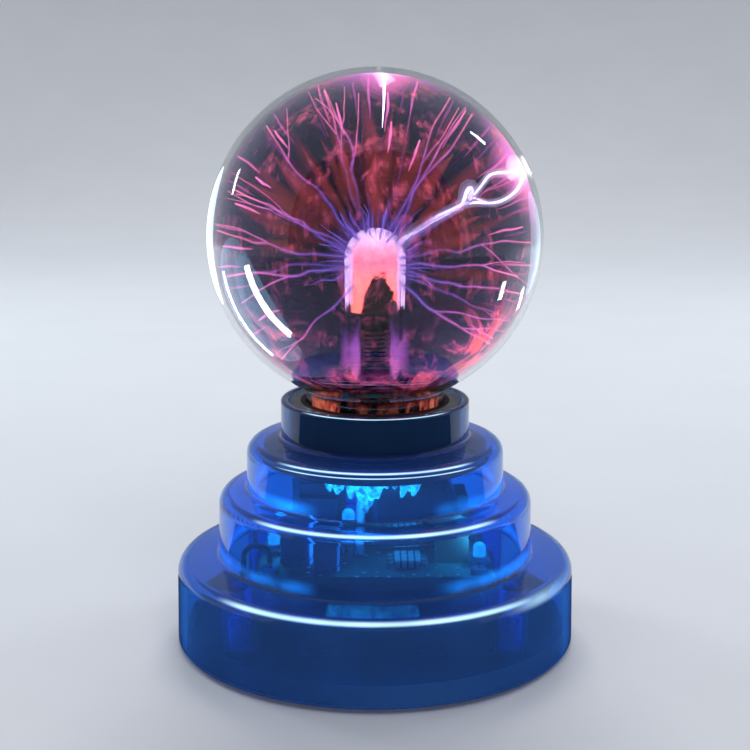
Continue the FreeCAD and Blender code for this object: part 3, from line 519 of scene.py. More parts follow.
@dataclass(frozen=True)
class GlowingWad(Finish):
    """The conductive wad in the dome, glowing coral with a white-hot crown."""

    strength: float = 26.0

    def dress(self, net: Net) -> None:
        """White-pink at the top, coral in the middle, orange-red at the open foot, mottled.

        Args:
            net: the finish's node tree.
        """
        at = net.place()
        x, y, z = net.axes(at)
        mottle = net.noise(at, 0.55, 3.0, 0.6, 1.0)
        height = (z - 82.0) / 19.0 + 0.35 * (mottle - 0.5)
        heat = net.ramp(height, (0.0, (0.9, 0.14, 0.05)), (0.28, (1.0, 0.16, 0.07)), (0.66, (1.0, 0.17, 0.11)),
                        (0.88, (1.0, 0.30, 0.20)), (1.0, (1.0, 0.74, 0.56)))
        ragged = net.noise(at, 0.3, 3.0, 0.6, 0.6)
        off = (x - 1.0).size() / (1.5 + (92.0 - z) * 0.30)
        mouth = 1.0 - (off + ragged * 1.5 - 0.75).rise(0.9, 1.15)
        mouth = mouth * (z + (ragged - 0.5) * 9.0).rise(92.8, 91.4) * y.rise(0.0, -1.0)
        net.skin(Base_Color=net.mix(mouth, (0.3, 0.18, 0.17), (0.01, 0.01, 0.01)), Roughness=0.55,
                 Emission_Color=net.tone(heat, (0.5 + mottle) * (1.0 - 0.995 * mouth)),
                 Emission_Strength=self.strength, Normal=net.bump(mottle, 0.2))


class Zone(Enum):
    """How a plasma piece's colour runs outwards from the dome."""

    THREAD = ((0.0, (0.95, 0.52, 0.95)), (0.2, (0.52, 0.36, 1.0)), (0.45, (0.62, 0.30, 0.95)),
              (0.72, (0.95, 0.24, 0.66)), (1.0, (1.0, 0.20, 0.40)))
    RAY = ((0.0, (0.7, 0.14, 0.36)), (0.3, (0.72, 0.11, 0.10)), (0.65, (0.80, 0.10, 0.05)), (1.0, (0.85, 0.10, 0.2)))
    STREAK = ((0.0, (1.0, 0.14, 0.30)), (0.8, (1.0, 0.15, 0.30)), (1.0, (0.95, 0.18, 0.48)))
    WHITE = ((0.0, (1.0, 0.72, 0.80)), (0.3, (0.95, 0.80, 0.86)), (0.8, (1.0, 0.86, 0.90)), (1.0, (1.0, 0.86, 0.90)))


@dataclass(frozen=True)
class Plasma(Finish):
    """Glowing gas: a colour by distance from the dome, and how much of what is behind it still shows."""

    zone: Zone = Zone.THREAD
    strength: float = 8.0
    cover: float = SOLID
    fade: Tuple[float, float] = (0.0, 0.0)

    def dress(self, net: Net) -> None:
        """Light only, broken along its length, faded at both ends where fade is set.

        Args:
            net: the finish's node tree.
        """
        at = net.place()
        reach = net.away(at, (0.0, 0.0, 96.0)) / 36.0
        flicker = net.noise(at, 0.28, 3.0, 0.6)
        light = net.tone(net.ramp(reach, *self.zone.value), 0.45 + 1.1 * flicker)
        if self.cover == SOLID:
            net.lit(light, self.strength)
            return
        near, far = self.fade
        shown = reach.rise(near, near + 0.22) * reach.rise(far, far - 0.4) if far > 0 else reach.rise(-1.0, 0.0)
        net.lit(light, self.strength, Alpha=(self.cover * shown * (0.5 + flicker)).clamped())


@dataclass(frozen=True)
class StemGlow(Finish):
    """The magenta haze at the sides of the stem, left out in front of and behind it."""

    strength: float = 3.4

    def dress(self, net: Net) -> None:
        """Strongest low down and to the sides.

        Args:
            net: the finish's node tree.
        """
        at = net.place()
        x, y, z = net.axes(at)
        beside = x.size().rise(3.0, 4.2) * x.size().rise(9.0, 4.0)
        ragged = net.noise(at, 0.45, 3.0, 0.7)
        shown = beside * z.band(71.5, 8.5) * (ragged * 2.6 - 0.7).clamped()
        hue = net.mix(z.rise(69.0, 79.0), (1.0, 0.24, 0.58), (0.78, 0.24, 0.85))
        net.lit(hue, self.strength, Alpha=(0.24 * shown).clamped())


@dataclass(frozen=True)
class DomeGlow(Finish):
    """The light that clings to the dome and the tube's sides, left out before the dark mouth of the wad."""

    colour: Colour = (0.85, 0.30, 0.78)
    strength: float = 2.6
    cover: float = 0.05
    above: Tuple[float, float] = (91.0, 96.0)

    def dress(self, net: Net) -> None:
        """Full above the mouth and beside it.

        Args:
            net: the finish's node tree.
        """
        at = net.place()
        x, _, z = net.axes(at)
        open_side = (z.rise(*self.above) + x.size().rise(4.8, 6.2)).clamped()
        ragged = net.noise(at, 0.4, 3.0, 0.6)
        net.lit(self.colour, self.strength,
                Alpha=(self.cover * open_side * z.rise(81.5, 85.0) * (0.5 + ragged)).clamped())


@dataclass(frozen=True)
class WallGlow(Finish):
    """Pink light where the discharge meets the glass, brightest at the touched place and at the crown, whose white spot
    is partly a painted reflection of the overhead lamp.
    """

    touch: Tuple[float, float, float] = (34.0, -6.0, 117.3)
    strength: float = 3.6

    def dress(self, net: Net) -> None:
        """Ragged patches, streaks across them, and the two bright places.

        Args:
            net: the finish's node tree.
        """
        at = net.place()
        x, y, z = net.axes(at)
        ragged = net.noise(at, 0.085, 4.0, 0.62, 1.4)
        streak = net.noise(net.vector("MULTIPLY", at, (0.5, 0.5, 0.09)), 1.0, 3.0, 0.6, 0.4)
        patches = (ragged * 2.9 - 1.42).clamped() * streak.rise(0.4, 0.75)
        side_red = (x.size() - 24.0).band(0.0, 16.0) * (z - 79.0).band(0.0, 11.0) * ragged.rise(0.44, 0.62)
        low_red = side_red * (0.35 + 0.65 * x.rise(-2.0, 6.0)) + 0.5 * z.band(71.0, 4.5) * ragged.rise(0.40, 0.62)
        touched = net.away(at, self.touch)
        crown = net.away(at, (2.0, -2.0, 138.7))
        spot = touched.rise(5.2, 1.6)
        ring = touched.rise(19.0, 2.0) * (0.35 + ragged)
        # the crown's white spot and halo: partly the discharge at the glass, partly a painted reflection of the
        # overhead lamp
        top = crown.rise(8.0, 1.5)
        halo = crown.rise(20.0, 4.0) * (0.3 + ragged)
        hue = net.mix(ragged.rise(0.35, 0.65), (0.70, 0.12, 0.80), (1.0, 0.14, 0.26))
        hue = net.mix(low_red.clamped(), hue, (1.0, 0.10, 0.12))
        hue = net.mix((spot * 1.2 + top * 0.9 + 0.25 * ring).clamped(), hue, (1.0, 0.70, 0.90))
        amount = 0.40 * patches + 0.42 * low_red + 1.4 * spot + 0.55 * ring + 0.8 * top + 0.3 * halo
        net.lit(hue, self.strength, Alpha=(amount * z.rise(66.6, 68.6)).clamped())


@dataclass(frozen=True)
class NeckGlow(Finish):
    """Red and orange light in the neck, in upright patches."""

    strength: float = 0.75

    def dress(self, net: Net) -> None:
        """Patches to the left and right, darker in front.

        Args:
            net: the finish's node tree.
        """
        at = net.place()
        x, _, z = net.axes(at)
        patch = net.noise(net.vector("MULTIPLY", at, (0.32, 0.32, 0.10)), 1.0, 4.0, 0.65, 0.8)
        shown = patch.rise(0.44, 0.60) * (0.10 + 0.90 * x.size().rise(6.5, 10.0)) * z.rise(63.5, 61.5)
        net.skin(Base_Color=(0.02, 0.0, 0.0), Roughness=0.6,
                 Emission_Color=net.mix(patch.rise(0.45, 0.7), (0.75, 0.07, 0.05), (1.0, 0.30, 0.14)),
                 Emission_Strength=self.strength, Alpha=(0.8 * shown).clamped())


@dataclass(frozen=True)
class LampLens(Finish):
    """The coloured epoxy of a small lamp, lit."""

    glow: Colour = (0.04, 0.80, 0.90)

    def dress(self, net: Net) -> None:
        """Brightest inside, a little uneven.

        Args:
            net: the finish's node tree.
        """
        at = net.place()
        x, _, z = net.axes(at)
        chip = net.noise(at, 1.1, 2.0)
        lens = (z - 7.2 * x.band(-6.4, 9.0).rise(0.3, 0.5)).rise(24.2, 25.0)
        net.skin(Base_Color=net.mix(lens, (0.55, 0.55, 0.55), (0.05, 0.35, 0.9)), Metallic=1.0 - lens, Roughness=0.22,
                 Emission_Color=net.tone(self.glow, (0.4 + chip) * lens), Emission_Strength=1.1)


@dataclass(frozen=True)
class Laminate(Finish):
    """Circuit board: solder mask over copper tracks, with tinned pads."""

    mask: Colour = (0.012, 0.075, 0.035)

    def dress(self, net: Net) -> None:
        """Tracks as steps in the mask, pads as bare metal spots, glass weave below.

        Args:
            net: the finish's node tree.
        """
        at = net.place()
        x, y, _ = net.axes(at)
        tracks = net.add("ShaderNodeTexBrick", {"offset": 0.37, "squash": 1.0},
                         {"Vector": at, "Color1": (1.0, 1.0, 1.0), "Color2": (0.7, 0.7, 0.7), "Mortar": (0.0, 0.0, 0.0),
                          "Scale": 1.0, "Mortar Size": 0.22, "Brick Width": 5.2, "Row Height": 2.1}, "Fac")
        pads = net.cells(at, 0.36, 0.5).rise(0.22, 0.17)
        weave = net.noise(net.vector("MULTIPLY", at, (6.0, 1.4, 1.0)), 1.0, 1.0)
        green = net.tone(self.mask, 0.6 + 0.5 * tracks + 0.4 * weave)
        net.skin(Base_Color=net.mix(pads, green, (0.62, 0.6, 0.55)), Metallic=pads,
                 Roughness=0.34 + 0.1 * weave, Normal=net.bump(tracks + pads, 0.03))


@dataclass(frozen=True)
class CellJacket(Finish):
    """The printed sleeve of a small dry cell, with bare steel ends."""

    sleeve: Colour = (0.03, 0.035, 0.045)
    band: Colour = (0.62, 0.36, 0.09)

    def dress(self, net: Net) -> None:
        """Dark sleeve, one metallic band near an end, steel beyond the sleeve.

        Args:
            net: the finish's node tree.
        """
        at = net.place()
        x, _, _ = net.axes(at)
        ends = x.size().rise(21.2, 21.4)
        band = x.rise(9.0, 9.15)
        scuff = net.noise(at, 0.9, 4.0).rise(0.58, 0.75)
        colour = net.mix(ends, net.mix(band, self.sleeve, self.band), (0.62, 0.61, 0.6))
        net.skin(Base_Color=net.mix(0.2 * scuff, colour, (0.4, 0.4, 0.4)),
                 Metallic=(0.9 * band + ends).clamped(), Roughness=0.28 + 0.25 * scuff,
                 Normal=net.bump(scuff, 0.01))


@dataclass(frozen=True)
class SleevedCan(Finish):
    """An electrolytic can: shrink sleeve, pale stripe, bare aluminium top."""

    sleeve: Colour = (0.02, 0.03, 0.07)

    def dress(self, net: Net) -> None:
        """Bare top found by which way the face looks.

        Args:
            net: the finish's node tree.
        """
        at = net.place()
        x, _, _ = net.axes(at)
        facing = net.add("ShaderNodeNewGeometry", output="Normal")
        nx, _, nz = net.axes(facing)
        top = nz.rise(0.8, 0.95)
        stripe = nx.rise(0.78, 0.84)
        wrinkle = net.noise(at, 0.8, 3.0)
        colour = net.mix(top, net.mix(stripe, self.sleeve, (0.55, 0.56, 0.6)), (0.75, 0.75, 0.76))
        net.skin(Base_Color=colour, Metallic=top, Roughness=0.3 + 0.15 * wrinkle, Normal=net.bump(wrinkle, 0.02))


@dataclass(frozen=True)
class BandedLacquer(Finish):
    """A resistor's lacquer with generic colour bands across it."""

    body: Colour = (0.55, 0.40, 0.24)

    def dress(self, net: Net) -> None:
        """Bands that follow the part's length.

        Args:
            net: the finish's node tree.
        """
        at = net.place()
        x, _, _ = net.axes(at)
        turn = (x * 0.61).math("FRACT", x * 0.61)
        band = turn.rise(0.62, 0.66) * turn.rise(0.9, 0.86)
        lacquer = net.noise(at, 1.4, 2.0)
        net.skin(Base_Color=net.mix(band, net.tone(self.body, 0.8 + 0.4 * lacquer), (0.12, 0.03, 0.02)),
                 Roughness=0.3 + 0.15 * lacquer, Normal=net.bump(lacquer, 0.03))


class Dress:
    """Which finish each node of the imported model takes."""

    GLASS = BlownGlass("globe_glass_finish")
    TUBE = BlownGlass("tube_glass_finish", tint=(1.0, 0.93, 0.93), ior=1.5, wave=0.002)
    BLUE = ClearBlue("clear_blue_finish")
    BLACK = Moulded("black_cup_finish", colour=(0.010, 0.010, 0.012), roughness=0.33, coat=0.2)
    DARK = Moulded("dark_cover_finish", colour=(0.012, 0.015, 0.026), roughness=0.46, grain=4.0, depth=0.016)
    INSULATOR = Moulded("insulator_finish", colour=(0.012, 0.010, 0.011), roughness=0.5, grain=2.0)
    KNOB = Moulded("knob_finish", colour=(0.016, 0.016, 0.018), roughness=0.38, grain=6.0)
    CHIP = Moulded("chip_finish", colour=(0.02, 0.02, 0.022), roughness=0.6, grain=8.0)
    POTTING = Moulded("potting_finish", colour=(0.012, 0.012, 0.014), roughness=0.25, grain=0.8, depth=0.08, coat=0.3)
    FERRITE = Moulded("ferrite_finish", colour=(0.055, 0.052, 0.05), roughness=0.66, grain=3.0, depth=0.04)
    FILM = Moulded("film_box_finish", colour=(0.42, 0.10, 0.035), roughness=0.35, grain=2.0)
    RUBBER = SoftRubber("rubber_finish")
    STEEL = Metal("bright_steel_finish")
    SCREW = Metal("screw_steel_finish", colour=(0.50, 0.50, 0.50), roughness=0.3, lines=(4.0, 4.0, 0.5))
    NICKEL = Metal("contact_metal_finish", colour=(0.66, 0.63, 0.56), roughness=0.22)
    ALUMINIUM = Metal("finned_metal_finish", colour=(0.42, 0.42, 0.43), roughness=0.4)
    FRAME = Metal("switch_frame_finish", colour=(0.55, 0.55, 0.53), roughness=0.3)
    MIC = Metal("mic_can_finish", colour=(0.6, 0.6, 0.6), roughness=0.28, lines=(4.0, 4.0, 4.0))
    RED = Moulded("red_wire_finish", colour=(0.42, 0.02, 0.015), roughness=0.36, grain=2.0)
    JET = Moulded("black_wire_finish", colour=(0.012, 0.012, 0.013), roughness=0.36, grain=2.0)
    PALE = Moulded("white_wire_finish", colour=(0.5, 0.5, 0.48), roughness=0.4, grain=2.0)
    GREY = Moulded("grey_wire_finish", colour=(0.16, 0.16, 0.17), roughness=0.4, grain=2.0)

    NODES: Dict[str, Finish] = {
        "globe_glass": GLASS, "electrode_tube": TUBE, "exhaust_tip": TUBE, "electrode_lining": GlowingWad("wad_finish"),
        "contact_tip": STEEL, "contact_spring": STEEL, "lead_sleeve": INSULATOR, "stem_plug": INSULATOR,
        "globe_cup": BLACK, "neck_gasket": RUBBER, "mic_sleeve": RUBBER, "rubber_feet": RUBBER,
        "neck_glue": HotGlue("hot_glue_finish"), "cup_screws": SCREW, "case_screws": SCREW, "board_screws": SCREW,
        "switch_screws": SCREW, "upper_shell": BLUE, "bottom_cover": DARK, "battery_door": DARK,
        "battery_springs": NICKEL, "link_plates": NICKEL, "end_plates": NICKEL,
        **{f"battery_cell_{index}": CellJacket("cell_jacket_finish") for index in range(1, 5)},
        "circuit_board": Laminate("board_finish"), "transformer_core": FERRITE, "transformer_coil": POTTING,
        "capacitors": SleevedCan("can_finish"), "film_capacitor": FILM, "heat_sink": ALUMINIUM,
        "power_transistor": CHIP, "sound_chip": CHIP, "resistors": BandedLacquer("resistor_finish"),
        "blue_lamps": LampLens("lamp_finish"), "switch_body": FRAME, "switch_slider": KNOB, "microphone": MIC,
        "battery_wire_red": RED, "battery_wire_black": JET, "hv_lead": PALE, "switch_wires": GREY, "mic_wires": GREY,
    }

    @classmethod
    def carry_over(cls) -> None:
        """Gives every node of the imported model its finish."""
        for name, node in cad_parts.items():
            node.data.materials.clear()
            node.data.materials.append(cls.NODES[name].material())
            log.info("node %s takes %s", name, cls.NODES[name].name)


# ---------------------------------------------------------------- hand tools

class Bench:
    """The modelling steps that several pieces share."""

    @staticmethod
    def clear() -> None:
        """Leaves nothing selected, in object mode."""
        if bpy.context.object is not None and bpy.context.object.mode != "OBJECT":
            bpy.ops.object.mode_set(mode="OBJECT")
        bpy.ops.object.select_all(action="DESELECT")

    @classmethod
    def pick(cls, piece: bpy.types.Object) -> None:
        """Selects one piece and nothing else.

        Args:
            piece: the piece.
        """
        cls.clear()
        piece.select_set(True)
        bpy.context.view_layer.objects.active = piece

    @classmethod
    def ball(cls, name: str, centre: Vector, radius: float, around: int = 96, rings: int = 64) -> bpy.types.Object:
        """Starts a piece from a ball.

        Args:
            name: the piece's name.
            centre: its middle, in millimetres.
            radius: its radius, in millimetres.
            around: faces round.
            rings: faces from pole to pole.

        Returns:
            The ball.
        """
        cls.clear()
        bpy.ops.mesh.primitive_uv_sphere_add(segments=around, ring_count=rings, radius=radius * MM,
                                             location=centre * MM)
        piece = bpy.context.object
        piece.name = name
        return piece

    @classmethod
    def lathe(cls, name: str, profile: Sequence[Tuple[float, float]], steps: int = 64) -> bpy.types.Object:
        """Turns a profile round the vertical axis.

        Args:
            name: the piece's name.
            profile: (radius, height) in millimetres, in order.
            steps: faces round.

        Returns:
            The turned piece, poles and seam merged, faces outwards.
        """
        cls.clear()
        bpy.ops.mesh.primitive_plane_add(size=MM)
        piece = bpy.context.object
        piece.name = name
        bpy.ops.object.mode_set(mode="EDIT")
        bpy.ops.mesh.select_all(action="SELECT")
        bpy.ops.mesh.merge(type="CENTER")
        last = Vector((0.0, 0.0, 0.0))
        for index, (radius, height) in enumerate(profile):
            point = Vector((radius * MM, 0.0, height * MM))
            if index == 0:
                bpy.ops.transform.translate(value=point)
            else:
                bpy.ops.mesh.extrude_vertices_move(TRANSFORM_OT_translate={"value": point - last})
            last = point
        bpy.ops.mesh.select_all(action="SELECT")
        bpy.ops.mesh.spin(steps=steps, angle=2 * math.pi, center=(0, 0, 0), axis=(0, 0, 1))
        bpy.ops.mesh.select_all(action="SELECT")
        bpy.ops.mesh.remove_doubles(threshold=2e-6)
        bpy.ops.mesh.normals_make_consistent(inside=False)
        bpy.ops.object.mode_set(mode="OBJECT")
        return piece

    @classmethod
    def strands(cls, name: str, runs: Sequence[Tuple[Sequence[Vector], Sequence[float]]], swell: float = 1.0,
                sides: int = 1) -> bpy.types.Object:
        """Round tapering strands along smooth lines, closed at both ends.

        Args:
            name: the piece's name.
            runs: for each strand its points in millimetres and its radius at each.
            swell: how many times those radii to make it.
            sides: rounds of the section beyond the coarsest.

        Returns:
            All the strands as one mesh.
        """
        cls.clear()
        bpy.ops.curve.primitive_nurbs_path_add()
        piece = bpy.context.object
        piece.name = name
        curve = piece.data
        curve.splines.clear()
        curve.dimensions = "3D"
        curve.bevel_depth, curve.bevel_resolution, curve.use_fill_caps = MM, sides, True
        for points, radii in runs:
            spline = curve.splines.new("NURBS")
            spline.points.add(len(points) - 1)
            for knot, point, radius in zip(spline.points, points, radii):
                knot.co, knot.radius = (*(point * MM), 1.0), radius * swell
            spline.order_u, spline.use_endpoint_u, spline.resolution_u = 3, True, 3
        bpy.ops.object.convert(target="MESH")
        piece = bpy.context.object
        piece.name = name
        return piece

    @classmethod
    def nest(cls, name: str, runs: Sequence[Tuple[Sequence[Vector], Sequence[float]]], swells: Sequence[float],
             finish: Finish, sides: int = 1) -> None:
        """The same strands several times over, each time as thick as its swell says, so that their edges are soft.

        Args:
            name: the pieces' name, which a number is added to.
            runs: the strands, as strands takes them.
            swells: how many times their radii to make each piece.
            finish: the finish they share.
            sides: rounds of the section beyond the coarsest.
        """
        for index, swell in enumerate(swells):
            cls.finish(cls.strands(f"{name}_{index + 1}", runs, swell, sides), finish)

    @classmethod
    def finish(cls, piece: bpy.types.Object, finish: Finish, body: str = "base", slot: Optional[str] = None,
               replaces: Sequence[str] = ()) -> bpy.types.Object:
        """Hands a piece over: at the origin, smooth, dressed and riding.

        Args:
            piece: the modelled piece.
            finish: its finish.
            body: the body it rides on.
            slot: the record's slot; not used.
            replaces: the nodes it stands for.

        Returns:
            The piece.
        """
        cls.pick(piece)
        bpy.ops.object.transform_apply(location=True, rotation=True, scale=True)
        bpy.ops.object.shade_smooth()
        piece.data.materials.clear()
        piece.data.materials.append(finish.material())
        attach(piece, body)
        if replaces:
            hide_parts(*replaces)
        log.info("piece %s: %d faces", piece.name, len(piece.data.polygons))
        return piece


# ---------------------------------------------------------------- the discharge

@dataclass
class Discharge:
    """The gas in the globe and everything that glows in it. Sizes in millimetres."""

    centre: Vector = field(default_factory=lambda: Vector((0.0, 0.0, 100.0)))
    inner_radius: float = 38.8
    tube_radius: float = 6.85
    dome_height: float = 95.15
    neck_radius: float = 15.6
    neck_foot: float = 52.0
    glow_floor: float = 66.0
    skin_gap: float = 0.03
    halo_gap: float = 0.6
    halo_radii: Tuple[float, ...] = (8.0, 6.6, 5.3, 4.1)
    crown_share: float = 0.72
    # where the white glow at the top sits: partly discharge, partly a painted reflection of the overhead lamp
    crown: Vector = field(default_factory=lambda: Vector((2.3, -3.0, 137.8)))
    touch: Vector = field(default_factory=lambda: Vector((34.0, -6.0, 117.3)))
    seed: int = 11

    def __post_init__(self) -> None:
        """Starts the repeatable dice."""
        self.dice = random.Random(self.seed)

    def wall_point(self, way: Vector, gap: float = 0.4) -> Vector:
        """Where a line from the globe's centre meets the inner wall."""
        return self.centre + way.normalized() * (self.inner_radius - gap)

    def root_point(self, way: Vector) -> Vector:
        """Where a strand starts.

        Args:
            way: the direction that it leaves in.

        Returns:
            Its first point, on the dome or on the tube's side.
        """
        way = way.normalized()
        flat = Vector((way.x, way.y, 0.0))
        if way.z > 0.0 or flat.length < 1e-6:
            return Vector((0, 0, self.dome_height)) + way * (self.tube_radius + 0.1)
        return flat.normalized() * (self.tube_radius + 0.1) + Vector((0, 0, self.dome_height + 9.0 * way.z))

    def bolt(self, start: Vector, end: Vector, kink: float, knots: int = 9) -> List[Vector]:
        """A wandering line.

        Args:
            start: its first point.
            end: its last point.
            kink: how far it strays, as a share of its length.
            knots: how many runs it has.

        Returns:
            Its points.
        """
        along = end - start
        side = along.orthogonal().normalized()
        other = along.cross(side).normalized()
        bow, turn = self.dice.uniform(0.3, 1.0) * kink, self.dice.uniform(0, 2 * math.pi)
        drift = [0.0, 0.0]
        points = []
        for index in range(knots + 1):
            share = index / knots
            hold = math.sin(math.pi * share)
            drift = [d * 0.6 + self.dice.gauss(0, 0.45 * kink) for d in drift]
            a = hold * (bow * math.cos(turn) + drift[0]) * along.length
            b = hold * (bow * math.sin(turn) + drift[1]) * along.length
            points.append(start + along * share + side * a + other * b)
        return points

    def ways(self, count: int, lowest: float) -> List[Vector]:
        """Directions spread evenly round the dome.

        Args:
            count: how many.
            lowest: the least height of a unit direction.

        Returns:
            Unit directions, each nudged a little; those that would cross before the wad's mouth are left out.
        """
        made = []
        for index in range(count):
            up = lowest + (1.0 - lowest) * (index + 0.5) / count
            turn = index * GOLDEN_TURN + self.dice.uniform(-0.25, 0.25)
            flat = math.sqrt(max(0.0, 1 - up * up))
            way = Vector((flat * math.cos(turn), flat * math.sin(turn), up)).normalized()
            if way.y > -0.62 or way.z > 0.6:
                made.append(way)
        return made

    def gas(self) -> None:
        """The filling between the globe's wall and the electrode tube."""
        reach = self.inner_radius - self.skin_gap
        cut = math.asin(self.neck_radius / reach)
        arc = [(reach * math.sin(a), self.centre.z + reach * math.cos(a))
               for a in [(math.pi - cut) * i / 60 for i in range(61)]]
        tube = self.tube_radius + self.skin_gap
        dome = [(tube * math.sin(a), self.dome_height + tube * math.cos(a))
                for a in [math.pi / 2 * (1 - i / 12) for i in range(13)]]
        arc[0], dome[-1] = (0.0, arc[0][1]), (0.0, dome[-1][1])
        foot = [(self.neck_radius, self.neck_foot), (tube, self.neck_foot)]
        Bench.finish(Bench.lathe("gas_filling", arc + foot + dome, 96), SmokyGas("gas_finish"))

    def wall_glow(self) -> None:
        """The lit skin of gas just inside the glass, cut flat above the neck and closed there."""
        piece = Bench.ball("wall_glow", self.centre, self.inner_radius - 0.25)
        bpy.ops.object.mode_set(mode="EDIT")
        bpy.ops.mesh.select_all(action="SELECT")
        bpy.ops.mesh.bisect(plane_co=(0, 0, self.glow_floor * MM), plane_no=(0, 0, 1), clear_inner=True,
                            use_fill=True)
        bpy.ops.object.mode_set(mode="OBJECT")
        Bench.finish(piece, WallGlow("wall_glow_finish", touch=tuple(self.touch)))

    def neck_glow(self) -> None:
        """The lit gas in the neck, in patches."""
        wall = self.neck_radius - 0.2
        ring = [(wall, 65.5), (wall, 57.0), (wall - 0.4, 56.6), (wall - 0.4, 65.9), (wall, 65.5)]
        Bench.finish(Bench.lathe("neck_glow", ring, 64), NeckGlow("neck_glow_finish"))

    def threads(self) -> None:
        """The long fine strands that reach the wall, forked near it, each in a soft sheath."""
        runs = []
        named = [(-0.80, -0.40, 0.30), (-0.85, -0.35, 0.08), (-0.80, -0.45, -0.16), (-0.52, -0.50, -0.62),
                 (0.85, -0.40, 0.02), (0.80, -0.42, -0.26), (0.66, -0.45, -0.56), (-0.28, -0.35, 0.85),
                 (0.42, -0.30, 0.82), (-0.60, -0.35, 0.66)]
        for way in [Vector(n) for n in named] + self.ways(22, -0.55):
            start, end = self.root_point(way), self.wall_point(way)
            points = self.bolt(start, end, 0.04, 11)
            thick = self.dice.uniform(0.06, 0.12)
            taper = [thick * (1.25 - 0.75 * i / 11) for i in range(12)]
            runs.append((points, taper))
            for _ in range(self.dice.choice((0, 1, 1, 2))):
                knot = self.dice.randint(4, 8)
                stray = Vector([self.dice.gauss(0, 0.11) for _ in range(3)])
                branch = self.bolt(points[knot], self.wall_point(way + stray), 0.05, 6)
                runs.append((branch, [taper[knot] * (0.85 - 0.09 * i) for i in range(7)]))
        Bench.finish(Bench.strands("plasma_threads", runs),
                     Plasma("thread_finish", strength=3.4, cover=0.5, fade=(-0.3, 1.25)))
        Bench.nest("plasma_sheaths", runs, (2.0, 3.4, 5.4), Plasma("sheath_finish", strength=2.6, cover=0.08))

    def wall_streaks(self) -> None:
        """The short pink streaks that cross the gas just inside the glass."""
        runs = []
        for way in self.ways(84, -0.66):
            wall = self.wall_point(way, 0.8)
            start = self.root_point(way).lerp(wall, self.dice.uniform(0.70, 0.86))
            runs.append((self.bolt(start, wall, 0.05, 4), [0.03, 0.09, 0.12, 0.11, 0.06]))
        Bench.nest("plasma_streaks", runs, (0.8, 1.7, 3.0),
                   Plasma("streak_finish", zone=Zone.STREAK, strength=2.6, cover=0.22))

    def tufts(self) -> None:
        """The short violet hairs that stand round the dome."""
        runs = []
        for way in self.ways(70, -0.5):
            start = self.root_point(way)
            length = self.dice.uniform(3.5, 10.0)
            end = start + (way + Vector((0, 0, 0.1))).normalized() * length
            runs.append((self.bolt(start, end, 0.09, 5), [0.13, 0.12, 0.10, 0.08, 0.05, 0.03]))
        Bench.finish(Bench.strands("plasma_tufts", runs), Plasma("tuft_finish", strength=4.5, cover=0.6))
        Bench.nest("plasma_tuft_sheaths", runs, (1.9, 3.2), Plasma("tuft_sheath_finish", strength=3.5, cover=0.12))

    def rays(self) -> None:
        """The broad blurred rays between the strands, five skins deep so that their edges are soft."""
        runs = []
        for way in self.ways(42, 0.18) + self.ways(16, -0.3):
            start = self.root_point(way) + way * 4.5
            end = start.lerp(self.wall_point(way), self.dice.uniform(0.62, 0.95))
            wide = self.dice.uniform(0.9, 2.1)
            shape = [0.08, 0.5, 0.9, 1.0, 0.8, 0.5, 0.1]
            runs.append((self.bolt(start, end, 0.03, 6), [wide * s for s in shape]))
        Bench.nest("plasma_rays", runs, (1.3, 1.05, 0.8, 0.55, 0.3),
                   Plasma("ray_finish", zone=Zone.RAY, strength=1.5, cover=0.10, fade=(0.15, 1.14)), 2)

    def streamer(self) -> None:
        """The bright double strand drawn to the touched place, with its loop and forks."""
        y = self.touch.y

        def spot(x: float, up: float, back: float) -> Vector:
            """A point by its place across and above the globe's centre, back from the front strand."""
            return Vector((x, back, 100.0 + up))

        trunk = [spot(5.6, -0.9, -2.6), spot(8.2, 1.4, -3.2), spot(11.2, 3.5, -3.7), spot(13.8, 5.2, -4.1),
                 spot(16.2, 6.3, -4.4), spot(20.1, 8.2, -4.9)]
        twin = [p + Vector((0.25, 0.5, -0.75 * math.sin(math.pi * (i + 0.4) / 6.4))) for i, p in enumerate(trunk)]
        knot = [spot(20.1, 8.2, -4.9), spot(20.9, 9.6, -5.0), spot(21.3, 11.2, -5.2), spot(22.2, 12.4, -5.2),
                spot(22.7, 11.2, -5.0), spot(21.9, 9.9, -5.0), spot(22.6, 9.4, -5.0)]
        upper = [spot(21.9, 9.7, -5.0), spot(23.6, 11.2, -5.2), spot(25.2, 13.4, -5.4), spot(26.6, 15.4, -5.6),
                 spot(29.0, 15.9, -5.8), spot(32.0, 15.7, y), self.touch.copy()]
        lower = [spot(20.1, 8.2, -4.9), spot(23.0, 9.0, -4.8), spot(26.0, 8.6, -4.9), spot(29.2, 8.9, -5.2),
                 spot(32.2, 10.8, -5.5), spot(34.0, 13.2, -5.8), self.touch + Vector((0.6, 0, -1.0))]
        rung = [spot(22.4, 10.0, -5.0), spot(24.4, 9.6, -4.9), spot(26.4, 8.7, -4.9)]
        runs = [(trunk, [0.6, 0.42, 0.36, 0.34, 0.32, 0.32]), (twin, [0.5, 0.30, 0.26, 0.24, 0.24, 0.24]),
                (knot, [0.34, 0.40, 0.50, 0.60, 0.44, 0.34, 0.3]), (upper, [0.24, 0.23, 0.22, 0.24, 0.28, 0.36, 0.5]),
                (lower, [0.28, 0.26, 0.25, 0.25, 0.26, 0.3, 0.5]), (rung, [0.2, 0.17, 0.15])]
        white = Plasma("streamer_finish", zone=Zone.WHITE, strength=14.0)
        Bench.finish(Bench.strands("touch_streamer", runs, 1.0, 2), white)
        Bench.nest("touch_streamer_sheath", runs, (1.7, 2.6, 4.0),
                   Plasma("streamer_sheath_finish", zone=Zone.WHITE, strength=3.4, cover=0.13), 2)
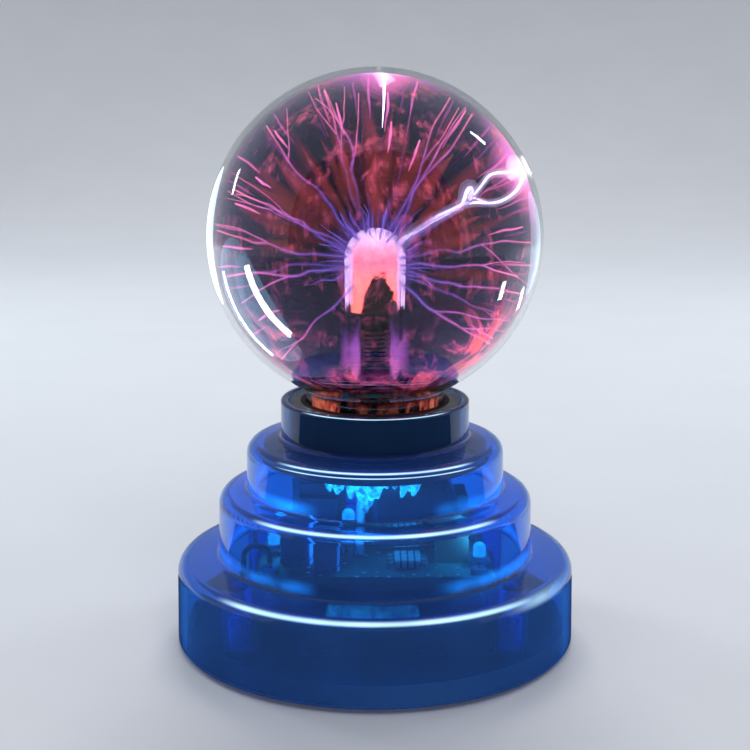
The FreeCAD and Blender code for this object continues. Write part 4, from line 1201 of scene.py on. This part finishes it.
        spots = [([spot(31.0, 14.5, -5.6), spot(32.4, 16.2, -5.8), spot(33.4, 16.9, -5.9), spot(34.4, 17.4, -6.0)],
                  [0.6, 1.7, 2.3, 1.2]),
                 ([Vector((1.6, -3.0, 135.2)), Vector((1.9, -3.0, 136.6)), Vector((2.2, -3.0, 137.6)),
                   Vector((2.4, -3.0, 138.2))], [0.3, 1.0, 1.9, 1.0])]
        Bench.nest("touch_spot", spots, (1.7, 1.35, 1.05, 0.8, 0.55),
                   Plasma("spot_finish", zone=Zone.WHITE, strength=4.5, cover=0.22), 2)
        # the second spot above, the crown halos and the crown strand make the white glow at the top, partly a painted
        # reflection of the overhead lamp
        for index, radius in enumerate(self.halo_radii):
            self.halo(f"touch_halo_{index + 1}", self.touch, radius)
            self.halo(f"crown_halo_{index + 1}", self.crown, self.crown_share * radius)
        crown = [(self.bolt(Vector((1.7, -3.5, 126.0)), Vector((2.3, -3.0, 138.3)), 0.01, 5),
                  [0.05, 0.14, 0.2, 0.26, 0.34, 0.5])]
        Bench.finish(Bench.strands("crown_streamer", crown, 1.0, 2), white)

    def halo(self, name: str, heart: Vector, radius: float) -> None:
        """A soft ball of light where a strand meets the glass, cut off at the inner wall.

        Args:
            name: what the piece is called.
            heart: its middle.
            radius: how far the light hangs round it.
        """
        wall = Bench.ball("halo_limit", self.centre, self.inner_radius - self.halo_gap)
        piece = Bench.ball(name, heart, radius, 40, 24)
        cut = piece.modifiers.new("cut", "BOOLEAN")
        cut.operation, cut.solver, cut.object = "INTERSECT", "EXACT", wall
        bpy.ops.object.modifier_apply(modifier=cut.name)
        bpy.data.objects.remove(wall, do_unlink=True)
        Bench.finish(piece, Plasma("halo_finish", zone=Zone.STREAK, strength=3.2, cover=0.075))

    def corona(self) -> None:
        """The violet light that hangs round the dome, and the magenta light round the foot of the stem."""
        for index in range(6):
            out = self.tube_radius + 0.3 + 0.85 * index
            cap = [(out * math.sin(a), self.dome_height + out * math.cos(a))
                   for a in [math.pi / 2 * i / 14 for i in range(15)]]
            cap[0] = (0.0, cap[0][1])
            low = 84.0 + 0.8 * index
            inner = self.tube_radius + 0.12
            thick = out - inner
            profile = cap + [(out - 0.12 * thick, low + 5.0), (out - 0.5 * thick, low + 1.6), (inner, low),
                             (inner, self.dome_height)]
            profile += [(inner * math.sin(a), self.dome_height + inner * math.cos(a))
                        for a in [math.pi / 2 * (1 - i / 10) for i in range(1, 11)]]
            profile[-1] = (0.0, profile[-1][1])
            Bench.finish(Bench.lathe(f"dome_corona_{index + 1}", profile, 48), DomeGlow("corona_finish"))
        skin = self.tube_radius + 0.22
        ribs = []
        for index in range(56):
            turn = 2 * math.pi * (index + self.dice.uniform(0.2, 0.8)) / 56
            flat = Vector((math.cos(turn), math.sin(turn), 0.0))
            foot = self.dice.uniform(82.0, 85.0)
            rib = [flat * skin + Vector((0, 0, foot)), flat * skin + Vector((0, 0, 90.0))]
            rib += [flat * skin * math.cos(a) + Vector((0, 0, self.dome_height + skin * math.sin(a)))
                    for a in [math.pi / 2 * i / 6 for i in range(7)]]
            ribs.append((rib, [0.06, 0.14, 0.17, 0.17, 0.16, 0.15, 0.14, 0.12, 0.05]))
        Bench.nest("dome_outline", ribs, (1.0, 1.8),
                   DomeGlow("outline_finish", colour=(1.0, 0.70, 0.60), strength=16.0, cover=0.26,
                            above=(96.5, 101.5)))
        runs = []
        for index in range(16):
            turn = 2 * math.pi * (index + 0.5) / 16
            flat = Vector((math.cos(turn), math.sin(turn), 0.0))
            foot = flat * (self.tube_radius + 1.7) + Vector((0, 0, 67.5 + self.dice.uniform(-1, 1)))
            tip = flat * (self.tube_radius + 1.3) + Vector((0, 0, 81.0 + self.dice.uniform(-2.5, 2)))
            runs.append((self.bolt(foot, tip, 0.03, 5), [0.2, 1.05, 1.35, 1.2, 0.7, 0.1]))
        Bench.nest("stem_glow", runs, (1.6, 1.25, 0.9, 0.55), StemGlow("stem_glow_finish"), 2)

    def build(self) -> None:
        """Makes the gas and all that glows in it, from the wall inwards."""
        self.gas()
        self.wall_glow()
        self.neck_glow()
        self.rays()
        self.threads()
        self.wall_streaks()
        self.tufts()
        self.corona()
        self.streamer()


# ---------------------------------------------------------------- the glue under the neck

@dataclass
class GlueClump:
    """Hot glue run in under the glass, with its drips and the stalk that follows the lead. Millimetres."""

    top: float = 48.9
    reach: float = 14.0
    drips: int = 13
    stalk: Vector = field(default_factory=lambda: Vector((-2.3, -7.6, 33.8)))
    seed: int = 5

    def build(self) -> None:
        """Drips are drawn as strands, melted into one lump and smoothed."""
        dice = random.Random(self.seed)
        runs = []
        low = self.top - 2.2
        for index in range(7):
            turn = 2 * math.pi * index / 7
            edge = Vector((self.reach * 0.8 * math.cos(turn), self.reach * 0.8 * math.sin(turn), low))
            runs.append(([edge, Vector((0, 0, low)), Vector((-edge.x, -edge.y, low))], [1.7, 1.6, 1.7]))
        for index in range(self.drips):
            x = -12.0 + 23.0 * index / (self.drips - 1) + dice.uniform(-0.5, 0.5)
            y = -math.sqrt(max(0.0, self.reach ** 2 - x * x)) * 0.92
            drop = dice.uniform(4.8, 8.6)
            runs.append(([Vector((x, y, low)), Vector((x * 0.96 - 0.1, y * 0.97, low - drop * 0.6)),
                          Vector((x * 0.88 - 0.4, y * 0.92, low - drop))], [1.7, dice.uniform(1.2, 1.8), 0.5]))
        for x in (-9.0, -6.0, -3.0, 0.0, 3.5, 6.5):
            start = Vector((x, -11.0, low - 1.0))
            waist = Vector((self.stalk.x + 0.22 * (x + 2.0), self.stalk.y - 1.0, self.stalk.z + 6.0))
            foot = self.stalk + Vector((0.16 * (x + 2.0), 0.0, dice.uniform(0.0, 3.0)))
            runs.append(([start, start.lerp(waist, 0.6) + Vector((0, -0.6, 0.8)), waist, foot],
                         [1.5, dice.uniform(1.0, 1.4), 0.85, 0.4]))
        piece = Bench.strands("glue_clump", runs, 1.0, 2)
        melt = piece.modifiers.new("melt", "REMESH")
        melt.mode, melt.voxel_size = "VOXEL", 0.00032
        ease = piece.modifiers.new("ease", "SMOOTH")
        ease.factor, ease.iterations = 0.5, 4
        for modifier in (melt.name, ease.name):
            bpy.ops.object.modifier_apply(modifier=modifier)
        Bench.finish(piece, Dress.NODES["neck_glue"], slot="hot_glue", replaces=("neck_glue",))


# ---------------------------------------------------------------- studio

@dataclass(frozen=True)
class Softbox:
    """A flat lamp. Place and aim in metres, its sides in metres, power in watts."""

    name: str
    at: Tuple[float, float, float]
    aim: Tuple[float, float, float]
    width: float
    height: float
    power: float
    colour: Colour = (1.0, 1.0, 1.0)
    shape: str = "RECTANGLE"

    def hang(self) -> bpy.types.Object:
        """Puts the lamp in the scene, facing its aim.

        Returns:
            The lamp's object.
        """
        lamp = bpy.data.lights.new(self.name, "AREA")
        lamp.shape, lamp.size, lamp.size_y = self.shape, self.width, self.height
        lamp.energy, lamp.color = self.power, self.colour
        holder = bpy.data.objects.new(self.name, lamp)
        bpy.context.scene.collection.objects.link(holder)
        holder.location = self.at
        holder.rotation_euler = (Vector(self.aim) - Vector(self.at)).to_track_quat("-Z", "Y").to_euler()
        holder.visible_camera = False
        return holder


@dataclass(frozen=True)
class Glint:
    """A panel hung so that its reflection crosses the front of the globe between two places.

    A place is (across, up) from the globe's middle, as shares of its radius.
    """

    name: str
    start: Tuple[float, float]
    end: Tuple[float, float]
    width: float
    bright: float
    colour: Colour = (1.0, 1.0, 1.0)
    away: float = 0.3
    shape: str = "RECTANGLE"

    def hang(self, centre: Vector, radius: float, camera: Vector) -> None:
        """Puts the panel in the scene; only shine sees it.

        Args:
            centre: the globe's middle, in metres.
            radius: the globe's, in metres.
            camera: where it is looked at from.
        """
        sight = centre - camera
        rim = math.tan(math.asin(radius / sight.length))
        ahead = sight.normalized()
        right = ahead.cross(Vector((0, 0, 1))).normalized()
        up = right.cross(ahead)
        mirrored = []
        for across, high in (self.start, self.end):
            ray = (ahead + (right * across + up * high) * rim).normalized()
            along = ray.dot(sight)
            on_glass = camera + ray * (along - math.sqrt(max(0.0, along ** 2 - sight.length ** 2 + radius ** 2)))
            out = (on_glass - centre).normalized()
            mirrored.append((on_glass, on_glass + (ray - out * 2 * ray.dot(out)) * self.away))
        (glass_a, end_a), (glass_b, end_b) = mirrored
        middle = (end_a + end_b) / 2
        along_panel = (end_b - end_a).normalized()
        face = (glass_a + glass_b) / 2 - middle
        face = (face - along_panel * face.dot(along_panel)).normalized()
        length = (end_b - end_a).length
        box = Softbox(self.name, tuple(middle), tuple(centre), length, self.width,
                      self.bright * math.pi * length * self.width, self.colour, self.shape)
        holder = box.hang()
        back = -face
        holder.rotation_euler = Matrix((along_panel, back.cross(along_panel), back)).transposed().to_euler()
        holder.visible_diffuse = holder.visible_transmission = False
        only = bpy.data.collections.get("seen_in_globe")
        if only is None:
            only = bpy.data.collections.new("seen_in_globe")
            only.objects.link(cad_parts["globe_glass"])
        holder.light_linking.receiver_collection = only
        log.info("panel %s: %s to %s", self.name, [round(v, 3) for v in end_a], [round(v, 3) for v in end_b])


@dataclass
class Studio:
    """Pale floor that curves up all round, soft lamps, and the camera."""

    floor_radius: float = 0.7
    cove: float = 0.9
    wall_top: float = 1.7
    lens: float = 70.0
    distance: float = 0.355
    elevation: float = 12.0
    look_at: Tuple[float, float, float] = (0.0, 0.0, 0.0665)
    surround_colour: Colour = (0.84, 0.89, 1.0)
    surround_strength: float = 0.42
    lamp_places: Tuple[Tuple[float, float, float], ...] = ((-6.4, -8.4, 37.2), (25.0, -11.5, 29.8),
                                                           (-25.0, -2.4, 29.8), (9.8, 17.6, 29.8))
    lamp_colour: Colour = (0.03, 0.42, 1.0)
    lamp_power: float = 0.05
    lamp_radius: float = 0.0008
    see_through: int = 48

    def room(self) -> None:
        """One turned sheet: floor, cove and wall, seen from its upper side only so that the foot can be looked at."""
        r, c = self.floor_radius * 1000, self.cove * 1000
        curve = [(r + c * math.sin(a), c - c * math.cos(a)) for a in [math.pi / 2 * i / 16 for i in range(1, 17)]]
        sheet = Bench.lathe("studio_floor", [(0.0, 0.0), (r * 0.5, 0.0), (r, 0.0)] + curve
                            + [(r + c, self.wall_top * 1000)], 96)
        net = Net("floor_finish")
        at = net.place()
        paper = net.noise(at, 0.02, 3.0)
        card = net.skin(Base_Color=net.tone((0.74, 0.75, 0.77), 0.97 + 0.06 * paper), Roughness=1.0,
                        Specular_IOR_Level=0.0)
        under = net.add("ShaderNodeNewGeometry", output="Backfacing")
        shown = net.add("ShaderNodeMixShader", None, {0: under, 1: card, 2: net.add("ShaderNodeBsdfTransparent")})
        net.tree.links.new(shown.out, net.exit.inputs["Surface"])
        sheet.data.materials.append(net.material)
        Bench.pick(sheet)
        bpy.ops.object.mode_set(mode="EDIT")
        bpy.ops.mesh.select_all(action="SELECT")
        bpy.ops.mesh.flip_normals()
        bpy.ops.object.mode_set(mode="OBJECT")
        bpy.ops.object.shade_smooth()

    def flags(self) -> None:
        """Black cloths behind and below the camera, so that the front of the glass mirrors nothing pale."""
        net = Net("flag_finish")
        weave = net.noise(net.place(), 1.5, 2.0)
        net.skin(Base_Color=net.tone((0.02, 0.02, 0.025), 0.7 + 0.6 * weave), Roughness=1.0, Specular_IOR_Level=0.0)
        for name, place, size, turn in (("flag_behind", (0.0, -0.56, 0.64), (1.8, 1.3), 90.0),
                                        ("flag_below", (0.0, -0.26, 0.0008), (1.4, 0.60), 0.0)):
            Bench.clear()
            bpy.ops.mesh.primitive_plane_add(size=1.0, location=place)
            cloth = bpy.context.object
            cloth.name = name
            bpy.ops.transform.resize(value=(*size, 1.0))
            bpy.ops.transform.rotate(value=math.radians(turn), orient_axis="X", center_override=place)
            bpy.ops.object.transform_apply(location=True, rotation=True, scale=True)
            cloth.data.materials.append(net.material)
            cloth.visible_camera = cloth.visible_diffuse = cloth.visible_transmission = cloth.visible_shadow = False

    def surround(self) -> None:
        """The pale light that comes from all sides."""
        world = bpy.data.worlds.new("surround")
        bpy.context.scene.world = world
        world.use_nodes = True
        inputs = world.node_tree.nodes["Background"].inputs
        inputs["Color"].default_value = (*self.surround_colour, 1)
        inputs["Strength"].default_value = self.surround_strength

    def softboxes(self) -> None:
        """The soft lamps above and beside the toy, which its shine doesn't show."""
        boxes = [
            Softbox("key_above", (0.02, 0.60, 0.95), (0, 0.05, 0.05), 0.5, 0.4, 4.6),
            Softbox("left_strip", (-0.62, 0.45, 0.30), (0, 0, 0.09), 0.20, 0.40, 1.6, (0.72, 0.87, 1.0)),
            Softbox("right_strip", (0.62, 0.45, 0.30), (0, 0, 0.09), 0.20, 0.36, 1.2, (0.72, 0.87, 1.0)),
            Softbox("front_fill", (0.15, -0.85, 0.95), (0, 0, 0.05), 0.7, 0.5, 3.6),
        ]
        for box in boxes:
            holder = box.hang()
            holder.visible_glossy = holder.visible_transmission = False

    def from_below(self) -> None:
        """A lamp under the floor that lights the foot and the battery bay, and nothing else."""
        under = Softbox("under_lamp", (0.15, -0.2, -0.45), (0, 0, 0), 0.4, 0.4, 5.0).hang()
        foot = bpy.data.collections.new("lit_from_below")
        for name in ("bottom_cover", "battery_door", "rubber_feet", "case_screws", "battery_springs", "link_plates",
                     "end_plates", *(f"battery_cell_{index}" for index in range(1, 5))):
            foot.objects.link(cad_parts[name])
        under.light_linking.receiver_collection = under.light_linking.blocker_collection = foot

    def glints(self) -> None:
        """The panels that the globe mirrors."""
        blue, sky = (0.55, 0.76, 1.0), (0.35, 0.68, 1.0)
        glints = [
            Glint("glint_low_left", (-0.763, -0.163), (-0.50, -0.58), 0.009, 26.0, away=0.075),
            Glint("glint_far_left", (-0.90, -0.20), (-0.61, -0.70), 0.004, 18.0, away=0.062),
            Glint("glint_high_left", (-0.80, 0.40), (-0.84, 0.26), 0.006, 18.0, away=0.13),
            Glint("glint_high_right", (0.56, 0.62), (0.65, 0.55), 0.006, 24.0, away=0.13),
            Glint("glint_right", (0.77, -0.26), (0.74, -0.37), 0.008, 18.0, away=0.10),
            Glint("glint_far_right", (0.88, -0.30), (0.85, -0.42), 0.005, 12.0, away=0.08),
            Glint("rim_left", (-0.895, 0.40), (-0.905, -0.38), 0.06, 2.4, blue, 0.13, "ELLIPSE"),
            Glint("rim_right", (0.905, 0.26), (0.90, -0.34), 0.05, 1.1, blue, 0.13, "ELLIPSE"),
            Glint("haze_left", (-0.84, 0.0), (-0.44, -0.70), 0.055, 1.5, sky, 0.06, "ELLIPSE"),
            Glint("haze_left_core", (-0.80, -0.1), (-0.50, -0.60), 0.035, 1.2, sky, 0.06, "ELLIPSE"),
        ]
        camera = self.viewpoint()
        for glint in glints:
            glint.hang(Vector((0.0, 0.0, 0.1)), 0.04, camera)

    def base_lamps(self) -> None:
        """The light of the four small lamps on the board."""
        for index, place in enumerate(self.lamp_places):
            bulb = bpy.data.lights.new(f"base_lamp_{index + 1}", "POINT")
            bulb.energy, bulb.color, bulb.shadow_soft_size = self.lamp_power, self.lamp_colour, self.lamp_radius
            holder = bpy.data.objects.new(bulb.name, bulb)
            bpy.context.scene.collection.objects.link(holder)
            holder.location = Vector(place) * MM
            holder.visible_camera = holder.visible_transmission = holder.visible_glossy = False

    def viewpoint(self) -> Vector:
        """Where the camera stands."""
        tilt = math.radians(self.elevation)
        return Vector(self.look_at) + Vector((0.0, -math.cos(tilt), math.sin(tilt))) * self.distance

    def camera(self) -> None:
        """The camera, a little above the globe's foot, looking back and down."""
        lens = bpy.data.cameras.new("camera")
        lens.lens, lens.clip_start, lens.clip_end = self.lens, 0.01, 20.0
        holder = bpy.data.objects.new("camera", lens)
        bpy.context.scene.collection.objects.link(holder)
        aim = Vector(self.look_at)
        holder.location = self.viewpoint()
        holder.rotation_euler = (aim - holder.location).to_track_quat("-Z", "Y").to_euler()
        bpy.context.scene.camera = holder

    def build(self) -> None:
        """Room, lamps and camera."""
        self.room()
        self.flags()
        self.surround()
        self.softboxes()
        self.from_below()
        self.glints()
        self.base_lamps()
        self.camera()
        bpy.context.scene.cycles.transparent_max_bounces = self.see_through
        bpy.context.scene.view_settings.view_transform = "Standard"


def main() -> None:
    """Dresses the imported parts, makes what glows, and sets the studio."""
    logging.basicConfig(level=logging.INFO, format="%(message)s")
    Dress.carry_over()
    Discharge().build()
    GlueClump().build()
    Studio().build()


if __name__ == "__main__":
    main()
